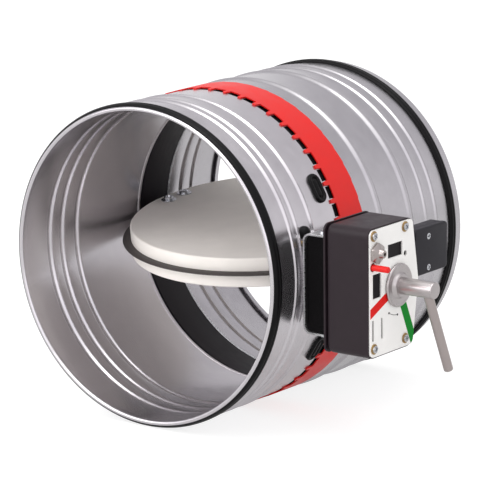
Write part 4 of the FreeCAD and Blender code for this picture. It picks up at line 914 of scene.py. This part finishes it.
def folded_channel(low, high, sheet, bend):
    """Section of the channel in (x, z): a web and two flanges joined by round bends."""
    t = np.linspace(0, math.pi / 2, 9)
    down, up = -circle(t), circle(t)[:, ::-1] * [-1, 1]
    low_bend, high_bend = np.array([low.x, low.z]) + bend, np.array([low.x + bend, high.z - bend])
    inner = bend - sheet
    return np.concatenate([
        [[high.x, low.z]], (low_bend + bend * down)[::-1], (high_bend + bend * up)[::-1], [[high.x, high.z]],
        [[high.x, high.z - sheet]], high_bend + inner * up, low_bend + inner * down, [[high.x, low.z + sheet]],
    ])


class DAMPER_OT_channel(Operator):
    """Folded mounting channel between the casing and the actuator"""
    bl_idname = "damper.channel"
    bl_label = "Mounting channel"

    def execute(self, context):
        low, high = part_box("mounting_channel")
        section = folded_channel(low, high, 2 * MM, 8 * MM)
        channel = lofted("folded_channel", section, edge_sections(low.y, high.y, 0.35 * MM, 0.35 * MM, 2), "Y", 30)
        steel = finish(
            "bracket_steel", shade(206, 206, 206), 0.3, 0.9, shade(186, 186, 188), stretch=(1, 0.1, 1), scale=700,
            depth=10,
        )
        dressed(channel, steel, replaces=("mounting_channel",))
        return {"FINISHED"}


class DAMPER_OT_release_rod(Operator):
    """Red release rod with its rounded tip"""
    bl_idname = "damper.release_rod"
    bl_label = "Release rod"

    def execute(self, context):
        _, _, _, colours = settings(context)
        low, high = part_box("release_rod")
        line = np.array([(220, 1.4), (223, 3.0), (236.5, 3.0), (236.5, 3.9), (239.5, 3.9), (239.5, 3.0)]) * MM
        line = [(low.x, 0), (low.x, 1.4 * MM), *line, (high.x - 1 * MM, 3.0 * MM), (high.x, 2.1 * MM), (high.x, 0)]
        rod = turned("release_rod_red", softened(line, 0.5 * MM, 3), "X", middle("release_rod")[1:], 40)
        dressed(rod, red_film(colours), "release", ("release_rod",))
        return {"FINISHED"}


class DAMPER_OT_plain_nodes(Operator):
    """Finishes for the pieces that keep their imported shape"""
    bl_idname = "damper.plain_nodes"
    bl_label = "Remaining pieces"

    def execute(self, context):
        _, _, _, colours = settings(context)
        brass = finish("bush_brass", shade(176, 148, 92), 0.35, 1.0, shade(150, 124, 76))
        steel = finish(
            "plain_steel", shade(186, 187, 189), 0.34, 0.95, shade(160, 161, 164), stretch=(1, 0.15, 0.15), scale=700,
            depth=10,
        )
        spring = finish("spring_steel", shade(120, 122, 128), 0.3, 1.0, shade(92, 94, 102))
        face = finish("face_plate_white", colours.face, 0.4, second=0.96, scale=70, depth=10, coat=0.2, grain=(2400, 8))
        switch = finish("switch_black", shade(22, 16, 21), 0.4, second=shade(18, 13, 17), gloss=0.12)
        pad = finish("pad_foam", shade(20, 18, 20), 0.9, second=shade(12, 11, 12), scale=600, depth=200, gloss=0.1)
        light = finish("terminal_grey", shade(196, 196, 190), 0.5, second=shade(178, 178, 172))
        for material, names in (
            (brass, "blade_bush_left blade_bush_right spindle_bush_inner spindle_bush_middle spindle_bush_outer"),
            (brass, "fuse_probe fuse_plunger"),
            (steel, "stop_pins latch_pin terminal_bracket left_pivot right_shaft blade_crank blade_crank_pin"),
            (steel, "spindle drive_arm drive_arm_pin cam_disc link_rod latch_pawl"),
            (moulded(colours), "back_plate fuse_holder spring_drum"),
            (bright_zinc(), "channel_rivets flange_screws"),
            (black_rubber(colours), "cable_grommet"),
            (face, "face_plate"), (spring, "return_spring"), (pad, "channel_pad"), (light, "terminal_strip"),
            (switch, "limit_switch_open limit_switch_closed"),
        ):
            for name in names.split():
                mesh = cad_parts[name].data
                mesh.materials.clear()
                mesh.materials.append(material)
        return {"FINISHED"}


# Studio

def area_light(name, place, size, power):
    """Square lamp aimed at the middle of the casing."""
    data = bpy.data.lights.new(name, "AREA")
    data.size = size
    data.energy = power
    lamp = linked(name, data)
    lamp.location = place
    lamp.rotation_euler = (Vector((0, -0.05, 0)) - Vector(place)).to_track_quat("-Z", "Y").to_euler()


def studio_world():
    """World that is white behind the object, and in its metal a room that is pale at the
    horizon, greyer above it, and brightest overhead and in front."""
    world = bpy.data.worlds.new("studio")
    bpy.context.scene.world = world
    world.use_nodes = True
    tree = world.node_tree
    tree.nodes.clear()
    out = node(tree, "OutputWorld", 600, 0)
    place = node(tree, "TexCoord", -600, 0)
    split = node(tree, "SeparateXYZ", -400, 0)
    height = colour_ramp(tree, -200, 0, (0.15, (0.94, 0.93, 0.95)), (0.62, (0.66, 0.65, 0.68)), (0.9, (1, 1, 1)))
    upper_front = node(tree, "VectorMath", -400, -250, {1: (0.5, -0.8, 1)}, operation="DOT_PRODUCT")
    front = node(tree, "MapRange", -200, -250, {"From Min": 0.45, "From Max": 1.05, "To Min": 1.0, "To Max": 1.9})
    room = node(tree, "Background", 0, -100)
    paper = node(tree, "Background", 0, 100, {"Color": (1, 1, 1, 1)})
    glow = node(tree, "Background", 0, -300, {"Color": (1, 1, 1, 1), "Strength": 0.92})
    path = node(tree, "LightPath", -200, 400)
    either = node(tree, "Math", 0, 400, operation="MAXIMUM")
    shiny = node(tree, "MixShader", 200, -100)
    mixed = node(tree, "MixShader", 400, 0)
    wire(
        tree, (place, "Generated", split, "Vector"), (split, "Z", height, "Fac"), (height, "Color", room, "Color"),
        (place, "Generated", upper_front, 0), (upper_front, "Value", front, "Value"),
        (front, "Result", room, "Strength"), (path, "Is Glossy Ray", either, 0),
        (path, "Is Transmission Ray", either, 1), (either, "Value", shiny, "Fac"),
        (glow, "Background", shiny, 1), (room, "Background", shiny, 2), (path, "Is Camera Ray", mixed, "Fac"),
        (shiny, "Shader", mixed, 1), (paper, "Background", mixed, 2), (mixed, "Shader", out, "Surface"),
    )


def floor_paper(tone):
    """White paper: to the camera, and less so to metal, it glows faintly on top of its own
    shade, so it is white where light falls and pale grey in the object's shadow."""
    material = bpy.data.materials.new("floor_paper")
    material.use_nodes = True
    tree = material.node_tree
    tree.nodes.clear()
    out = node(tree, "OutputMaterial", 600, 0)
    place = node(tree, "TexCoord", -800, 0)
    noise = node(tree, "TexNoise", -600, 0, {"Scale": 3.0})
    drift = colour_ramp(tree, -400, 0, (0, [c * 0.99 for c in tone]), (1, tone))
    plain = node(tree, "BsdfDiffuse", -100, -100)
    faint = node(tree, "BsdfDiffuse", -100, 100, {"Color": (0.36, 0.36, 0.36, 1)})
    shine = node(tree, "Emission", -100, 250)
    strength = node(tree, "Math", -250, 300, {1: 0.32, 2: 0.46}, operation="MULTIPLY_ADD")
    glowing = node(tree, "AddShader", 100, 150)
    path = node(tree, "LightPath", -400, 500)
    shiny = node(tree, "Math", -100, 500, operation="MAXIMUM")
    seen = node(tree, "Math", 100, 500, operation="MAXIMUM")
    mixed = node(tree, "MixShader", 400, 0)
    wire(
        tree, (place, "Object", noise, "Vector"), (noise, "Fac", drift, "Fac"), (drift, "Color", plain, "Color"),
        (path, "Is Camera Ray", strength, 0), (strength, "Value", shine, "Strength"),
        (faint, "BSDF", glowing, 0), (shine, "Emission", glowing, 1), (path, "Is Glossy Ray", shiny, 0),
        (path, "Is Transmission Ray", shiny, 1), (shiny, "Value", seen, 0), (path, "Is Camera Ray", seen, 1),
        (seen, "Value", mixed, "Fac"), (plain, "BSDF", mixed, 1), (glowing, "Shader", mixed, 2),
        (mixed, "Shader", out, "Surface"),
    )
    return material


class DAMPER_OT_studio(Operator):
    """Pale floor, soft lamps, world and the camera at the photograph's view"""
    bl_idname = "damper.studio"
    bl_label = "Studio"

    def execute(self, context):
        _, _, _, colours = settings(context)
        scene = context.scene
        ring = np.linspace(0, TAU, 97)[:-1]
        radii = np.linspace(0, 14, 15)[:, None]
        floor = weld(grid("floor", swept("Z", floor_z, radii, ring)))
        floor.data.materials.append(floor_paper(colours.floor))
        studio_world()
        area_light("key", (0.3, -0.4, 2.4), 1.5, 20)
        area_light("fill", (-1.6, -3.0, 1.8), 3.0, 60)
        data = bpy.data.cameras.new("camera")
        data.sensor_width = 36
        data.lens = 240.04
        data.shift_x = 0.0004
        data.shift_y = -0.0047
        data.clip_end = 100
        camera = linked("camera", data)
        azimuth, elevation, roll, distance = 37.0936, 12.7487, -0.7334, 3.2099
        turn = rotation("Z", azimuth) @ rotation("X", 90 - elevation) @ rotation("Z", roll)
        camera.matrix_world = shift(0, -0.055, 0) @ turn @ shift(0, 0, distance)
        scene.camera = camera
        scene.view_settings.view_transform = "Standard"
        return {"FINISHED"}


operators = (
    DAMPER_OT_front_sleeve, DAMPER_OT_rear_sleeve, DAMPER_OT_inner_rings, DAMPER_OT_sealing_band,
    DAMPER_OT_spigot_seals, DAMPER_OT_casing_plugs, DAMPER_OT_blade, DAMPER_OT_blade_fasteners,
    DAMPER_OT_channel, DAMPER_OT_housing, DAMPER_OT_face_marks, DAMPER_OT_face_fasteners, DAMPER_OT_fuse_cap,
    DAMPER_OT_crank, DAMPER_OT_release_rod, DAMPER_OT_terminal_box, DAMPER_OT_plain_nodes, DAMPER_OT_studio,
)
groups = {
    "damper_casing": CasingSettings, "damper_blade": BladeSettings, "damper_actuator": ActuatorSettings,
    "damper_finish": FinishSettings,
}


class DAMPER_PT_panel(Panel):
    """Lists the settings and the pieces"""
    bl_idname = "DAMPER_PT_panel"
    bl_label = "Fire damper"
    bl_space_type = "VIEW_3D"
    bl_region_type = "UI"
    bl_category = "Fire damper"

    def draw(self, context):
        for group in settings(context):
            column = self.layout.box().column()
            for key in group.__annotations__:
                column.prop(group, key)
        column = self.layout.column()
        for operator in operators:
            column.operator(operator.bl_idname)


classes = (*groups.values(), *operators, DAMPER_PT_panel)


def register():
    for cls in classes:
        bpy.utils.register_class(cls)
    for name, group in groups.items():
        setattr(bpy.types.Scene, name, PointerProperty(type=group))


def unregister():
    for name in groups:
        delattr(bpy.types.Scene, name)
    for cls in reversed(classes):
        bpy.utils.unregister_class(cls)


def main():
    register()
    for operator in operators:
        group, name = operator.bl_idname.split(".")
        getattr(getattr(bpy.ops, group), name)()


if __name__ == "__main__":
    main()
